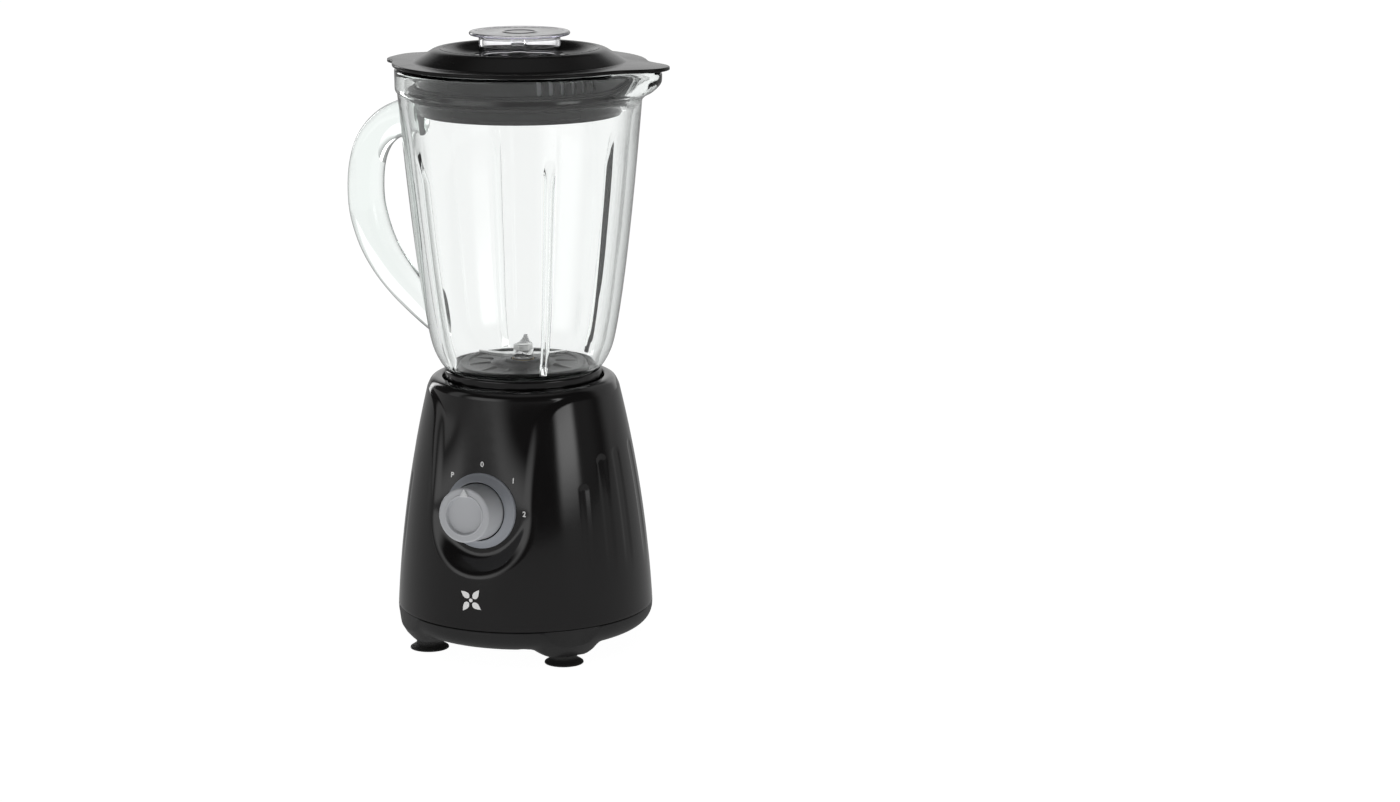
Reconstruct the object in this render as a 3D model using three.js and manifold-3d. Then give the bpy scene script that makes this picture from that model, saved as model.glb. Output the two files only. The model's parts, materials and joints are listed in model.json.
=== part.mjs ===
// Countertop blender with a glass jar: an assembly of separate pieces in millimetres, +Z up.
// The front, with the speed knob, faces -Y. The handle is on -X and the pouring spout on +X.
// All pieces are drawn around the jar's axis; the whole group is then moved in X and Y so that
// the origin lies on the table under the middle of the object's outline.

import * as THREE from "three";
import { mergeVertices } from "three/addons/utils/BufferGeometryUtils.js";
import { ConvexGeometry } from "three/addons/geometries/ConvexGeometry.js";
import Module from "manifold-3d";

const wasm = await Module();
wasm.setup();

// ---------------------------------------------------------------- driving dimensions (mm, degrees)

const gap = 0.35; // between pieces that rest on or in each other
const runningGap = 0.4; // between a turning piece and what it turns in
const loosePlay = 1.4; // between the jar's collar and the well that it drops into

// motor base
const seamRadius = 79.4;
const shoulderRadius = 59.2;
const seamZ = 24.2;
const housingHeight = 143.8;
const shoulderDrop = 6;
const deckRounding = 3.2;
const deckWidth = 6.1;
const housingWall = 2.6;
const wellDepth = 17;

// recessed front panel and speed knob
const recessDepth = 6.4; // at the knob
const recessBevel = 5.2;
const recessFlare = 10;
const panelBulge = 2; // of the nearly flat panel at the knob, over its width
const knobZ = 96;
const knobTilt = 6.3;
const knobRadius = 17;
const knobTaper = 0.6;
const knobReach = 24.6;
const knobWall = 2;
const knobClearance = 1.3; // between the knob's back and the panel
const bezelWidth = 6;
const bezelRise = 5.1;
const panelMargin = 6.6; // from the bezel to the bevel
const switchSide = 24;
const switchDepth = 16;
const switchStemRadius = 3;

// bottom cover and feet
const coverFloorZ = 10;
const coverRounding = 19.4;
const coverWall = 2.6;
const padDrop = 4;
const padRadius = 15;
const footInset = 15.2; // from the seam's radius to the feet's circle
const cupRadius = 12;
const cupHeight = 2.6;
const footNeckRadius = 8;
const footPlugRadius = 4;
const screwInset = 9.9;
const screwRadius = 1.8;
const ventCount = 6;
const inletRise = 12;

// motor
const stackZ = 66;
const stackHeight = 36;
const stackWidthX = 60;
const stackWidthY = 64;
const yoke = 5;
const poleWidth = 22;
const shoeThickness = 3.5;
const armatureRadius = 16.9;
const armatureTeeth = 10;
const windingHeight = 9;
const shaftRadius = 4;
const commutatorDepth = 6; // of copper over the shaft
const commutatorHeight = 13;
const bearingDepth = 6;
const bearingHeight = 7;
const bracketThickness = 4;
const fanRadius = 33;
const fanHeight = 9;
const fanBlades = 8;
const mountCircle = 34;
const mountRadius = 6;

// blade unit under and in the jar
const collarWall = 3;
const collarShow = 4.9; // part of the collar that stands above the deck
const neckLength = 11;
const neckWall = 4.5;
const gasketHeight = 1.5;
const flangeHeight = 2.1;
const floorRise = 4.25; // of the jar's floor over the glass foot
const bladeShaftRadius = 3.6;
const bushWall = 3;
const bladeRadius = 27;
const bladeThickness = 1.5;
const bladeWidth = 11;
const couplingRadius = 17;
const starRadius = 13;
const starSwell = 2.2;
const starLobes = 6;

// glass jar
const jarFootRadius = 50;
const jarTopRadius = 74.6;
const jarCurve = 0.58; // below 1, the wall flares most near the foot
const jarHeight = 186;
const jarWall = 5.5;
const rimBead = 1.4;
const rimHeight = 16;
const ribAngle = 38.5; // from the Y axis
const ribWidth = 4.3;
const ribDepth = 4;
const ribTopDrop = 50; // from the rim to the ribs' tops
const handleThickness = 21;
const handleWidth = 24;
const handleStand = 41.4; // how far the handle stands out from the top of the wall
const handleRise = 26; // from the glass foot to the lower root
const spoutStand = 15; // how far the spout stands out from the rim
const spoutHalfWidth = 17;
const spoutDrop = 21;

// lid and measuring cap
const lidOverhang = 1.5;
const lidFlange = 2.3;
const lidTabStand = 7; // beyond the spout
const lidTabHalfWidth = 14;
const lidLobeStand = 10; // beyond the rim, over the handle
const lidLobeHalfWidth = 17;
const domeRounding = 14.5;
const domeRise = 9;
const lidWall = 2.4;
const plugPlay = 4.6; // between the plug and the glass, filled by the seal
const plugLength = 29;
const sealPlay = 0.6;
const strainerSlots = 6;
const strainerStep = 6.5; // degrees between the slots
const strainerAngle = -39.5; // of their middle from +X, between the spout and the front
const capSkirtRadius = 24.7;
const capLip = 6;
const capRise = 18.1; // from the lid's flange to the cap's top
const capWall = 1.8;
const capSkirtLength = 30;

// ---------------------------------------------------------------- geometry helpers

const DEG = Math.PI / 180;
const ROUND = 32; // segments of the large round pieces
const MEDIUM = 20;
const SMALL = 12;

// Merges shared vertices, drops collapsed triangles and turns the faces outwards.
function closed(source) {
  const bare = source.index ? source.toNonIndexed() : source.clone();
  bare.deleteAttribute("normal");
  bare.deleteAttribute("uv");
  const merged = mergeVertices(bare, 1e-4);
  const p = merged.attributes.position;
  const faces = [];
  let volume = 0;
  const [a, b, c] = [new THREE.Vector3(), new THREE.Vector3(), new THREE.Vector3()];
  for (let i = 0; i < merged.index.count; i += 3) {
    const [i0, i1, i2] = [0, 1, 2].map((k) => merged.index.getX(i + k));
    if (i0 === i1 || i1 === i2 || i2 === i0) continue;
    faces.push([i0, i1, i2]);
    a.fromBufferAttribute(p, i0);
    b.fromBufferAttribute(p, i1);
    c.fromBufferAttribute(p, i2);
    volume += a.dot(b.cross(c)) / 6;
  }
  const turned = volume < 0 ? faces.map(([i0, i1, i2]) => [i0, i2, i1]) : faces;
  merged.setIndex(turned.flat());
  return merged;
}

function toManifold(geometry) {
  const g = closed(geometry);
  const vertProperties = new Float32Array(g.attributes.position.array);
  const triVerts = new Uint32Array(g.index.array);
  return new wasm.Manifold(new wasm.Mesh({ numProp: 3, vertProperties, triVerts }));
}

function fromManifold(solid) {
  const mesh = solid.asOriginal().simplify(0.03).getMesh();
  const g = new THREE.BufferGeometry();
  g.setAttribute("position", new THREE.BufferAttribute(new Float32Array(mesh.vertProperties), 3));
  g.setIndex(new THREE.BufferAttribute(new Uint32Array(mesh.triVerts), 1));
  return g;
}

function join(...pieces) {
  return fromManifold(pieces.map(toManifold).reduce((sum, piece) => sum.add(piece)));
}

function cut(body, ...tools) {
  return fromManifold(tools.map(toManifold).reduce((rest, tool) => rest.subtract(tool), toManifold(body)));
}

function overlap(one, other) {
  return fromManifold(toManifold(one).intersect(toManifold(other)));
}

// Turns an outline of [radius, z] points about the Z axis. The outline is closed here.
function lathe(outline, segments = ROUND) {
  const points = [...outline, outline[0]].map(([r, z]) => new THREE.Vector2(r, z));
  return new THREE.LatheGeometry(points, segments).rotateX(Math.PI / 2);
}

function tube(inner, outer, z0, z1, segments = MEDIUM) {
  return lathe([[inner, z0], [outer, z0], [outer, z1], [inner, z1]], segments);
}

function rod(radius, z0, z1, segments = SMALL) {
  return tube(0, radius, z0, z1, segments);
}

function block(x0, x1, y0, y1, z0, z1) {
  return new THREE.BoxGeometry(x1 - x0, y1 - y0, z1 - z0)
    .translate((x0 + x1) / 2, (y0 + y1) / 2, (z0 + z1) / 2);
}

function prism(shape, z0, z1, curveSegments = 12) {
  return new THREE.ExtrudeGeometry(shape, { depth: z1 - z0, bevelEnabled: false, curveSegments })
    .translate(0, 0, z0);
}

function polygon(points) {
  return new THREE.Shape(points.map(([x, y]) => new THREE.Vector2(x, y)));
}

function around(count, first = 0) {
  return Array.from({ length: count }, (_, i) => (first + (360 / count) * i) * DEG);
}

function turned(geometry, angle) {
  return geometry.clone().rotateZ(angle);
}

// A round outline whose radius swells and shrinks once per lobe.
function star(radius, swell, lobes, steps = 8) {
  const count = lobes * steps;
  return polygon(around(count).map((angle) => {
    const r = radius + swell * Math.cos(lobes * angle);
    return [r * Math.cos(angle), r * Math.sin(angle)];
  }));
}

// ---------------------------------------------------------------- shared stations and profiles

const deckZ = seamZ + housingHeight;
const shoulderZ = deckZ - shoulderDrop;
const deckRadius = shoulderRadius - deckRounding;
const wellRadius = deckRadius - deckWidth;
const wellFloorZ = deckZ - wellDepth;
const collarRadius = wellRadius - loosePlay;
const collarInner = collarRadius - collarWall;
const collarTopZ = deckZ + collarShow;
const collarBottomZ = wellFloorZ + gap;
const neckRadius = collarInner - gap;
const glassFootZ = collarTopZ + gap;
const neckBottomZ = glassFootZ - neckLength;
const gasketZ = neckBottomZ - gap;
const bladeFlangeTopZ = gasketZ - gasketHeight - gap;
const bladeFlangeZ = bladeFlangeTopZ - flangeHeight;
const jarFloorZ = glassFootZ + floorRise;
const rimTopZ = glassFootZ + jarHeight;
const wallTopZ = rimTopZ - rimHeight;
const rimRadius = jarTopRadius + rimBead;
const flangeZ = rimTopZ + gap;
const flangeTopZ = flangeZ + lidFlange;
const capTopZ = flangeTopZ + capRise;
const plugBottomZ = flangeZ - plugLength;
const bezelRadius = knobRadius + bezelWidth;
const recessHalfWidth = bezelRadius + panelMargin;
const footCircle = seamRadius - footInset;
const screwCircle = seamRadius - screwInset;
const handleReach = jarTopRadius + handleStand;
const spoutReach = rimRadius + spoutStand;
const lidTabReach = spoutReach + lidTabStand;
const lidRadius = rimRadius + lidOverhang;
const lidLobeReach = rimRadius + lidLobeStand;

// Radius of the housing's outer skin at a height.
function housingRadius(z) {
  const t = (z - seamZ) / (shoulderZ - seamZ);
  return seamRadius - (seamRadius - shoulderRadius) * (0.37 * t + 0.63 * t * t);
}

// Distance of the front panel's middle line from the axis: straight, tilted as the knob is.
function panelReach(z) {
  return housingRadius(knobZ) - recessDepth - (z - knobZ) * Math.tan(knobTilt * DEG);
}

// Radius of the panel's round section: nearly flat at the knob, concentric with the deck at the top.
function panelRound(z) {
  const reach = panelReach(z);
  const half = recessHalfWidth;
  const concentric = reach - Math.sqrt(Math.max(reach * reach - half * half, 0));
  const blend = THREE.MathUtils.smoothstep(z, knobZ, shoulderZ);
  const bulge = panelBulge + (concentric - panelBulge) * blend;
  return (half * half + bulge * bulge) / (2 * bulge);
}

// Outer radius of the glass wall at a height.
function jarRadius(z) {
  const u = THREE.MathUtils.clamp((z - glassFootZ) / (wallTopZ - glassFootZ), 0, 1);
  return jarFootRadius + (jarTopRadius - jarFootRadius) * Math.pow(u, jarCurve);
}

const plugRadius = jarRadius(plugBottomZ) - jarWall - plugPlay;
const domeRadius = plugRadius + 0.7;
const domeCrestRadius = domeRadius - domeRounding;

function levels(z0, z1, steps) {
  return Array.from({ length: steps + 1 }, (_, i) => z0 + ((z1 - z0) * i) / steps);
}

// The knob's own frame: its Z axis points out of the front panel.
const knobFrame = new THREE.Matrix4().makeRotationX(Math.PI / 2 - knobTilt * DEG);
knobFrame.setPosition(0, -panelReach(knobZ), knobZ);

function onPanel(geometry) {
  return geometry.clone().applyMatrix4(knobFrame);
}

// ---------------------------------------------------------------- the object and its materials

const blender = new THREE.Group();
const outlineCentreX = (lidTabReach - handleReach) / 2;
const knobFrontY = new THREE.Vector3(0, 0, knobReach).applyMatrix4(knobFrame).y;
const glandBackY = housingRadius(seamZ) + 3;
blender.position.set(-outlineCentreX, -(knobFrontY + glandBackY) / 2, 0);

function finish(color, roughness, metalness = 0, opacity = 1) {
  return { color, roughness, metalness, opacity, transparent: opacity < 1 };
}

const glossBlack = finish(0x0b0b0c, 0.12);
const satinBlack = finish(0x151516, 0.4);
const rubberBlack = finish(0x1a1a1a, 0.8);
const lightGrey = finish(0x9a9c9f, 0.4);
const blueGrey = finish(0x74787e, 0.4);
const clearGlass = finish(0xe8f2ee, 0.03, 0, 0.3);
const clearPlastic = finish(0xe4e2ee, 0.08, 0, 0.4);
const steel = finish(0xc4c6c8, 0.25, 1);
const lamination = finish(0x6d6f72, 0.5, 0.9);
const copper = finish(0xb0643a, 0.4, 0.9);
const bronze = finish(0xa9814f, 0.4, 0.9);
const nylonWhite = finish(0xd8d4c8, 0.5);
const carbon = finish(0x2a2a2c, 0.6);
const wireRed = finish(0x9c2d24, 0.5);

function part(name, geometry, look) {
  const mesh = new THREE.Mesh(closed(geometry), new THREE.MeshStandardMaterial(look));
  mesh.geometry.computeVertexNormals();
  mesh.name = name;
  blender.add(mesh);
  return mesh;
}

// ---------------------------------------------------------------- motor base: housing

// Keyhole outline of the front panel, seen from the front: a round end about the knob, straight
// sides, and a flare into the shoulder.
function keyhole(grow) {
  const half = recessHalfWidth + recessBevel / 2 + grow;
  const top = deckZ - 2;
  const wide = half + recessFlare;
  const shape = new THREE.Shape();
  shape.absarc(0, knobZ, half, Math.PI, 2 * Math.PI, false);
  shape.lineTo(half, top - 2 * recessFlare);
  shape.quadraticCurveTo(half, top, wide, top);
  shape.lineTo(-wide, top);
  shape.quadraticCurveTo(-half, top, -half, top - 2 * recessFlare);
  return shape;
}

function housingSolid(inset, z0, z1, topRadius) {
  const skin = levels(seamZ, shoulderZ, 8).map((z) => [housingRadius(z) - inset, z]);
  return lathe([[0, z0], [skin[0][0], z0], ...skin, [topRadius, z1], [0, z1]]);
}

// Joins equal rings of points, one above the other, into a closed solid.
function loft(rings) {
  const count = rings[0].length;
  const faces = [];
  for (let i = 1; i < count - 1; i++) {
    faces.push([0, i + 1, i], [0, i, i + 1].map((k) => k + (rings.length - 1) * count));
  }
  for (let row = 0; row < rings.length - 1; row++) {
    for (let i = 0; i < count; i++) {
      const [a, b] = [row * count + i, row * count + ((i + 1) % count)];
      faces.push([a, b, b + count], [a, b + count, a + count]);
    }
  }
  const g = new THREE.BufferGeometry().setFromPoints(rings.flat());
  g.setIndex(faces.flat());
  return g;
}

// The solid behind the front panel, grown by an amount.
function panelCore(grow, topZ) {
  const heights = [...levels(knobZ - 2 * recessHalfWidth, shoulderZ, 9), topZ];
  return loft(heights.map((z) => {
    const [reach, round] = [panelReach(Math.min(z, deckZ)), panelRound(Math.min(z, deckZ))];
    const sweep = Math.asin(Math.min(0.96, (recessHalfWidth + 24) / round));
    const front = levels(-sweep, sweep, 12).map((a) => new THREE.Vector3(
      (round + grow) * Math.sin(a), round - reach - (round + grow) * Math.cos(a), z,
    ));
    return [...front, new THREE.Vector3(front.at(-1).x, 0, z), new THREE.Vector3(front[0].x, 0, z)];
  }));
}

// What the recess takes off the round housing: all that is in front of the panel's own surface.
function recessCutter(grow, inset) {
  const front = prism(keyhole(grow), 15, seamRadius + 10, 6).rotateX(Math.PI / 2);
  const core = panelCore(-inset, deckZ + 6);
  return cut(front, core);
}

const inletZ = seamZ + inletRise;

function buildHousing() {
  const outside = cut(housingSolid(0, seamZ, deckZ, deckRadius), recessCutter(0, 0));
  const inner = housingSolid(housingWall, seamZ - 1, deckZ - housingWall, deckRadius - housingWall);
  const shell = cut(outside, cut(inner, recessCutter(housingWall, housingWall)));
  const bosses = around(4, 22.5).map((angle) => {
    const boss = tube(screwRadius + 0.3, 5, seamZ + 5, seamZ + 40, SMALL);
    return turned(boss.translate(0, -screwCircle, 0), angle);
  });
  const skinSolid = housingSolid(1, seamZ, deckZ - 1, deckRadius - 1);
  const trimmed = bosses.map((boss) => overlap(boss, skinSolid));
  const opening = rod(wellRadius, deckZ - 6, deckZ + 1, ROUND);
  const switchHole = onPanel(rod(switchStemRadius + 2.4, -14, 10));
  const inlet = rod(6.4, -8, 8).rotateX(Math.PI / 2).translate(0, housingRadius(inletZ), inletZ);
  return cut(join(shell, ...trimmed), opening, switchHole, inlet);
}

part("motor_housing", buildHousing(), glossBlack);

// ---------------------------------------------------------------- motor base: bottom cover, feet

const footAngles = around(4, 45);
const padZ = coverFloorZ - padDrop;

function buildBottomCover() {
  const topZ = seamZ - gap;
  const bowl = [
    [seamRadius - coverRounding, coverFloorZ], [seamRadius - 8, coverFloorZ + 1.2],
    [seamRadius - 3.4, coverFloorZ + 4], [seamRadius - 0.8, coverFloorZ + 8], [seamRadius, topZ],
  ];
  const lipTopZ = topZ + 3.5;
  const lipRadius = housingRadius(lipTopZ) - housingWall - gap;
  const hollow = bowl.slice(0, 4).map(([r, z]) => [r - coverWall, z + coverWall]);
  const shell = lathe([
    [0, coverFloorZ], ...bowl, [lipRadius, topZ], [lipRadius, lipTopZ],
    [lipRadius - 2, lipTopZ], [lipRadius - 2, topZ - 1], ...hollow.reverse(),
    [0, coverFloorZ + coverWall],
  ]);
  const edge = lathe([
    [0, padZ], [seamRadius - 5, padZ], [seamRadius - 2, coverFloorZ + 4],
    [seamRadius - 2, seamZ - 8], [0, seamZ - 8],
  ]);
  const pads = footAngles.map((angle) => {
    const post = rod(padRadius, padZ, coverFloorZ + 1.5, MEDIUM).translate(0, -footCircle, 0);
    return overlap(turned(post, angle), edge);
  });
  const holes = footAngles.map((angle) => {
    const bore = rod(footPlugRadius + gap, padZ - 1, coverFloorZ + 6);
    return turned(bore.translate(0, -footCircle, 0), angle);
  });
  const posts = around(4, 22.5).map((angle) => {
    const post = rod(4.6, coverFloorZ + 2, seamZ + 4.4);
    return turned(post.translate(0, -screwCircle, 0), angle);
  });
  const drills = around(4, 22.5).map((angle) => {
    const drill = lathe([
      [0, padZ - 6], [3.6, padZ - 6], [3.6, coverFloorZ + 6.4],
      [screwRadius + 0.3, coverFloorZ + 6.4], [screwRadius + 0.3, seamZ + 9], [0, seamZ + 9],
    ], SMALL);
    return turned(drill.translate(0, -screwCircle, 0), angle);
  });
  const vents = around(ventCount).map((angle) => {
    const slot = block(-3, 3, 20, fanRadius + 6, coverFloorZ - 1, coverFloorZ + 5);
    return turned(slot, angle);
  });
  return cut(join(shell, ...pads, ...posts), ...holes, ...drills, ...vents);
}

part("bottom_cover", buildBottomCover(), satinBlack);

const footNames = ["front_right", "back_right", "back_left", "front_left"];
footAngles.forEach((angle, i) => {
  const plugTop = coverFloorZ + 4;
  const foot = lathe([
    [0, 1.1], [cupRadius - 4, 0.8], [cupRadius - 1.6, 0], [cupRadius, 0], [cupRadius - 0.6, 0.9],
    [footNeckRadius + 0.6, cupHeight], [footNeckRadius, cupHeight + 0.8], [footNeckRadius, padZ - gap],
    [footPlugRadius, padZ - gap], [footPlugRadius, plugTop], [0, plugTop],
  ], 16);
  part(`foot_${footNames[i]}`, turned(foot.translate(0, -footCircle, 0), angle), rubberBlack);
});

around(4, 22.5).forEach((angle, i) => {
  const headZ = coverFloorZ + 6.4 - gap;
  const screw = lathe([
    [0, headZ - 2.2], [3.2, headZ - 2.2], [3.2, headZ], [screwRadius, headZ],
    [screwRadius, seamZ + 20], [0, seamZ + 20],
  ], 10);
  part(`cover_screw_${i + 1}`, turned(screw.translate(0, -screwCircle, 0), angle), steel);
});

// Grommet of the mains inlet, at the back.
const glandLength = glandBackY - housingRadius(inletZ) + 6;
part("cord_gland", lathe([
  [3.2, 0], [6, 0], [6, glandLength - 3], [7.5, glandLength - 3], [7.5, glandLength], [3.2, glandLength],
], SMALL).rotateX(-Math.PI / 2).translate(0, glandBackY - glandLength, inletZ), rubberBlack);

// ---------------------------------------------------------------- front panel: bezel, switch, knob

const bezelBore = knobRadius + 0.8;
part("dial_bezel", cut(onPanel(lathe([
  [bezelBore, -6], [bezelRadius, -6], [bezelRadius, 0.4], [bezelRadius - 1, 1.4],
  [bezelBore + 0.8, bezelRise], [bezelBore, bezelRise],
], 28)), panelCore(gap, deckZ + 6)), blueGrey);

const nose = switchStemRadius + 2;
const switchFrontZ = -5.6;
const halfSwitch = switchSide / 2;
part("rotary_switch", onPanel(cut(
  join(
    block(-halfSwitch, halfSwitch, -halfSwitch, halfSwitch, switchFrontZ - switchDepth, switchFrontZ),
    rod(nose, switchFrontZ - 1, 3),
  ),
  rod(switchStemRadius + runningGap, switchFrontZ - 8, 4),
)), nylonWhite);

part("switch_stem", onPanel(rod(switchStemRadius, switchFrontZ - 6, knobReach - 7)), steel);

// The knob's back clears the panel where the panel stands furthest forward, under the knob.
const panelUnderKnob = new THREE.Vector3(0, -panelReach(knobZ - knobRadius), knobZ - knobRadius)
  .applyMatrix4(knobFrame.clone().invert());
const knobBackZ = panelUnderKnob.z + knobClearance;
const knobFace = knobRadius - knobTaper;
part("speed_knob", onPanel(join(
  cut(
    lathe([
      [0, knobReach - 1.5], [10.8, knobReach - 1.5], [11.4, knobReach], [knobFace - 1, knobReach],
      [knobFace, knobReach - 1], [knobRadius, knobBackZ], [knobRadius - knobWall, knobBackZ],
      [knobFace - knobWall, knobReach - 4], [6, knobReach - 4], [6, knobBackZ + 3], [0, knobBackZ + 3],
    ], 28),
    rod(switchStemRadius + gap, knobBackZ - 1, knobReach - 7 + gap),
  ),
  prism(polygon([[-2.7, 11.6], [2.7, 11.6], [0, 15.6]]), knobReach - 1, knobReach + 0.5),
)), lightGrey);

// ---------------------------------------------------------------- jar seat under the deck

const seatOuter = deckRadius - housingWall - gap;
const seatTopZ = deckZ - housingWall - gap;
const couplingHole = couplingRadius + 2;
const mountAngles = around(4, 45);
part("jar_seat", cut(
  lathe([
    [couplingHole, wellFloorZ - 2.6], [seatOuter, wellFloorZ - 2.6], [seatOuter, seatTopZ],
    [wellRadius, seatTopZ], [wellRadius, wellFloorZ], [couplingHole, wellFloorZ],
  ]),
  ...mountAngles.map((angle) => {
    const hole = rod(screwRadius + gap, wellFloorZ - 4, wellFloorZ + 1, 10);
    return turned(hole.translate(0, -mountCircle, 0), angle);
  }),
), satinBlack);

// ---------------------------------------------------------------- motor, from the fan upwards

const bearingRadius = shaftRadius + bearingDepth;
const commutatorRadius = shaftRadius + commutatorDepth;
const bore = armatureRadius + 0.6;
const shoeRadius = bore + shoeThickness;
const halfX = stackWidthX / 2;
const halfY = stackWidthY / 2;
const stackTopZ = stackZ + stackHeight;
const lowerBracketZ = stackZ - 36;
const upperBracketZ = stackTopZ + 16;
const fanZ = coverFloorZ + coverWall + 3.5;
const shaftTopZ = wellFloorZ - 1;
const bracketTopZ = upperBracketZ + bracketThickness;

function stack() {
  const clip = block(-bore + 1.5, bore - 1.5, -halfY, halfY, stackZ, stackTopZ);
  const frame = cut(
    block(-halfX, halfX, -halfY, halfY, stackZ, stackTopZ),
    block(-halfX + yoke, halfX - yoke, -halfY + yoke, halfY - yoke, stackZ - 1, stackTopZ + 1),
  );
  const shoes = overlap(rod(shoeRadius, stackZ, stackTopZ, MEDIUM), clip);
  const pole = poleWidth / 2;
  const poles = block(-pole, pole, -halfY + 1, halfY - 1, stackZ, stackTopZ);
  return cut(join(frame, shoes, poles), rod(bore, stackZ - 1, stackTopZ + 1, MEDIUM));
}
part("stator_stack", stack(), lamination);

// Each field coil is a flat frame around its pole, above, below and on both sides of it.
const coilBar = 6;
["front", "back"].forEach((side, i) => {
  const inner = poleWidth / 2 + gap;
  const y0 = shoeRadius + gap;
  const y1 = halfY - yoke - gap;
  const outer = inner + coilBar;
  const coil = cut(
    block(-outer, outer, y0, y1, stackZ - gap - coilBar, stackTopZ + gap + coilBar),
    block(-inner, inner, y0 - 1, y1 + 1, stackZ - gap, stackTopZ + gap),
  );
  part(`field_coil_${side}`, turned(coil, i === 0 ? Math.PI : 0), copper);
});

function bracket(z, cupZ, legZ0, legZ1, legY, reach) {
  const shaftHole = rod(shaftRadius + 3, z - 20, z + 30, MEDIUM);
  const pocket = rod(bearingRadius + gap, cupZ, cupZ + bearingHeight + 1, MEDIUM);
  const half = bearingRadius + 4;
  const plate = prism(polygon([
    [-reach, -half], [-half, -legY], [half, -legY], [reach, -half],
    [reach, half], [half, legY], [-half, legY], [-reach, half],
  ]), z, z + bracketThickness);
  const cup = rod(bearingRadius + 2.6, Math.min(z, cupZ - 1.5), cupZ + bearingHeight, MEDIUM);
  const leg = block(-6, 6, legY - 4, legY, legZ0, legZ1);
  const legs = [leg, turned(leg, Math.PI)];
  return cut(join(plate, cup, ...legs), shaftHole, pocket);
}

const lowerCupZ = lowerBracketZ;
const upperCupZ = upperBracketZ;
part("lower_bracket", bracket(
  lowerBracketZ, lowerCupZ, lowerBracketZ, stackZ - gap, halfY - 1, 20,
), steel);
part("upper_bracket", cut(
  join(
    bracket(upperBracketZ, upperCupZ, stackTopZ + gap, bracketTopZ, halfY - 1, 20),
    ...mountAngles.map((angle) => (
      turned(block(-7, 7, -mountCircle - 7, -14, upperBracketZ, bracketTopZ), angle)
    )),
  ),
  rod(shaftRadius + 3, upperBracketZ - 2, upperBracketZ + 20, MEDIUM),
  rod(bearingRadius + gap, upperCupZ, upperCupZ + bearingHeight + 1, MEDIUM),
  ...mountAngles.map((angle) => {
    const hole = rod(screwRadius + gap, upperBracketZ - 1, bracketTopZ + 1, 10);
    return turned(hole.translate(0, -mountCircle, 0), angle);
  }),
), steel);

const bearing = (z) => tube(
  shaftRadius + runningGap, bearingRadius, z + gap, z + gap + bearingHeight - 1, MEDIUM,
);
part("lower_bearing", bearing(lowerCupZ + 1), bronze);
part("upper_bearing", bearing(upperCupZ + 1), bronze);

const mountZ = bracketTopZ + gap;
const mountTopZ = wellFloorZ - 2.6 - gap;
mountAngles.forEach((angle, i) => {
  const grommet = lathe([
    [screwRadius + gap, mountZ], [mountRadius, mountZ], [mountRadius - 1.2, (mountZ + mountTopZ) / 2],
    [mountRadius, mountTopZ], [screwRadius + gap, mountTopZ],
  ], SMALL);
  part(`motor_mount_${i + 1}`, turned(grommet.translate(0, -mountCircle, 0), angle), rubberBlack);
  const headZ = upperBracketZ - gap;
  const screw = lathe([
    [0, headZ - 2.4], [3.4, headZ - 2.4], [3.4, headZ], [screwRadius, headZ],
    [screwRadius, wellFloorZ - 0.6], [0, wellFloorZ - 0.6],
  ], 10);
  part(`mount_screw_${i + 1}`, turned(screw.translate(0, -mountCircle, 0), angle), steel);
});

const commutatorZ = lowerBracketZ + bearingHeight + 7;
const brushZ = commutatorZ + commutatorHeight / 2;
const brushReach = commutatorRadius + runningGap + 17;
["right", "left"].forEach((side, i) => {
  const x0 = commutatorRadius + 2;
  const x1 = brushReach;
  const sleeve = cut(
    join(
      block(x0, x1, -6, 6, brushZ - 4.5, brushZ + 4.5),
      block(x0 + 4, x0 + 9, -6, 6, lowerBracketZ + bracketThickness + gap, brushZ - 3),
    ),
    block(x0 - 1, x1 + 1, -3.4, 3.4, brushZ - 2.4, brushZ + 2.4),
  );
  part(`brush_holder_${side}`, turned(sleeve, i * Math.PI), bronze);
  const brush = block(commutatorRadius + runningGap, x1 - 3, -3, 3, brushZ - 2, brushZ + 2);
  part(`carbon_brush_${side}`, turned(brush, i * Math.PI), carbon);
});

part("suppression_capacitor", block(
  -9, 9, halfY + 3, halfY + 12, stackZ + 6, stackZ + 26,
), wireRed);

// ---------------------------------------------------------------- rotor

part("motor_shaft", rod(shaftRadius, fanZ - 1, shaftTopZ), steel);

const shaftHole = (z0, z1) => rod(shaftRadius + gap, z0 - 1, z1 + 1);

function armature() {
  const slot = armatureRadius * 0.62;
  const outline = around(armatureTeeth).flatMap((angle) => {
    const pitch = (360 / armatureTeeth) * DEG;
    const tooth = [[-0.42, armatureRadius], [0, armatureRadius], [0.42, armatureRadius], [0.5, slot]];
    return tooth.map(([f, r]) => {
      const at = angle + f * pitch * 0.94;
      return [r * Math.cos(at), r * Math.sin(at)];
    });
  });
  return cut(prism(polygon(outline), stackZ, stackTopZ), shaftHole(stackZ, stackTopZ));
}
part("armature_core", armature(), lamination);

function endWinding(z0, z1) {
  return lathe([
    [shaftRadius + gap, z0], [armatureRadius - 4, z0], [armatureRadius - 2, (z0 + z1) / 2],
    [armatureRadius - 5, z1], [shaftRadius + gap, z1],
  ], SMALL);
}
part("winding_upper", endWinding(stackTopZ + gap, stackTopZ + gap + windingHeight), copper);
part("winding_lower", endWinding(stackZ - gap, stackZ - gap - windingHeight + 1), copper);

part("commutator", tube(
  shaftRadius + gap, commutatorRadius, commutatorZ, commutatorZ + commutatorHeight - gap, 20,
), copper);

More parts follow.
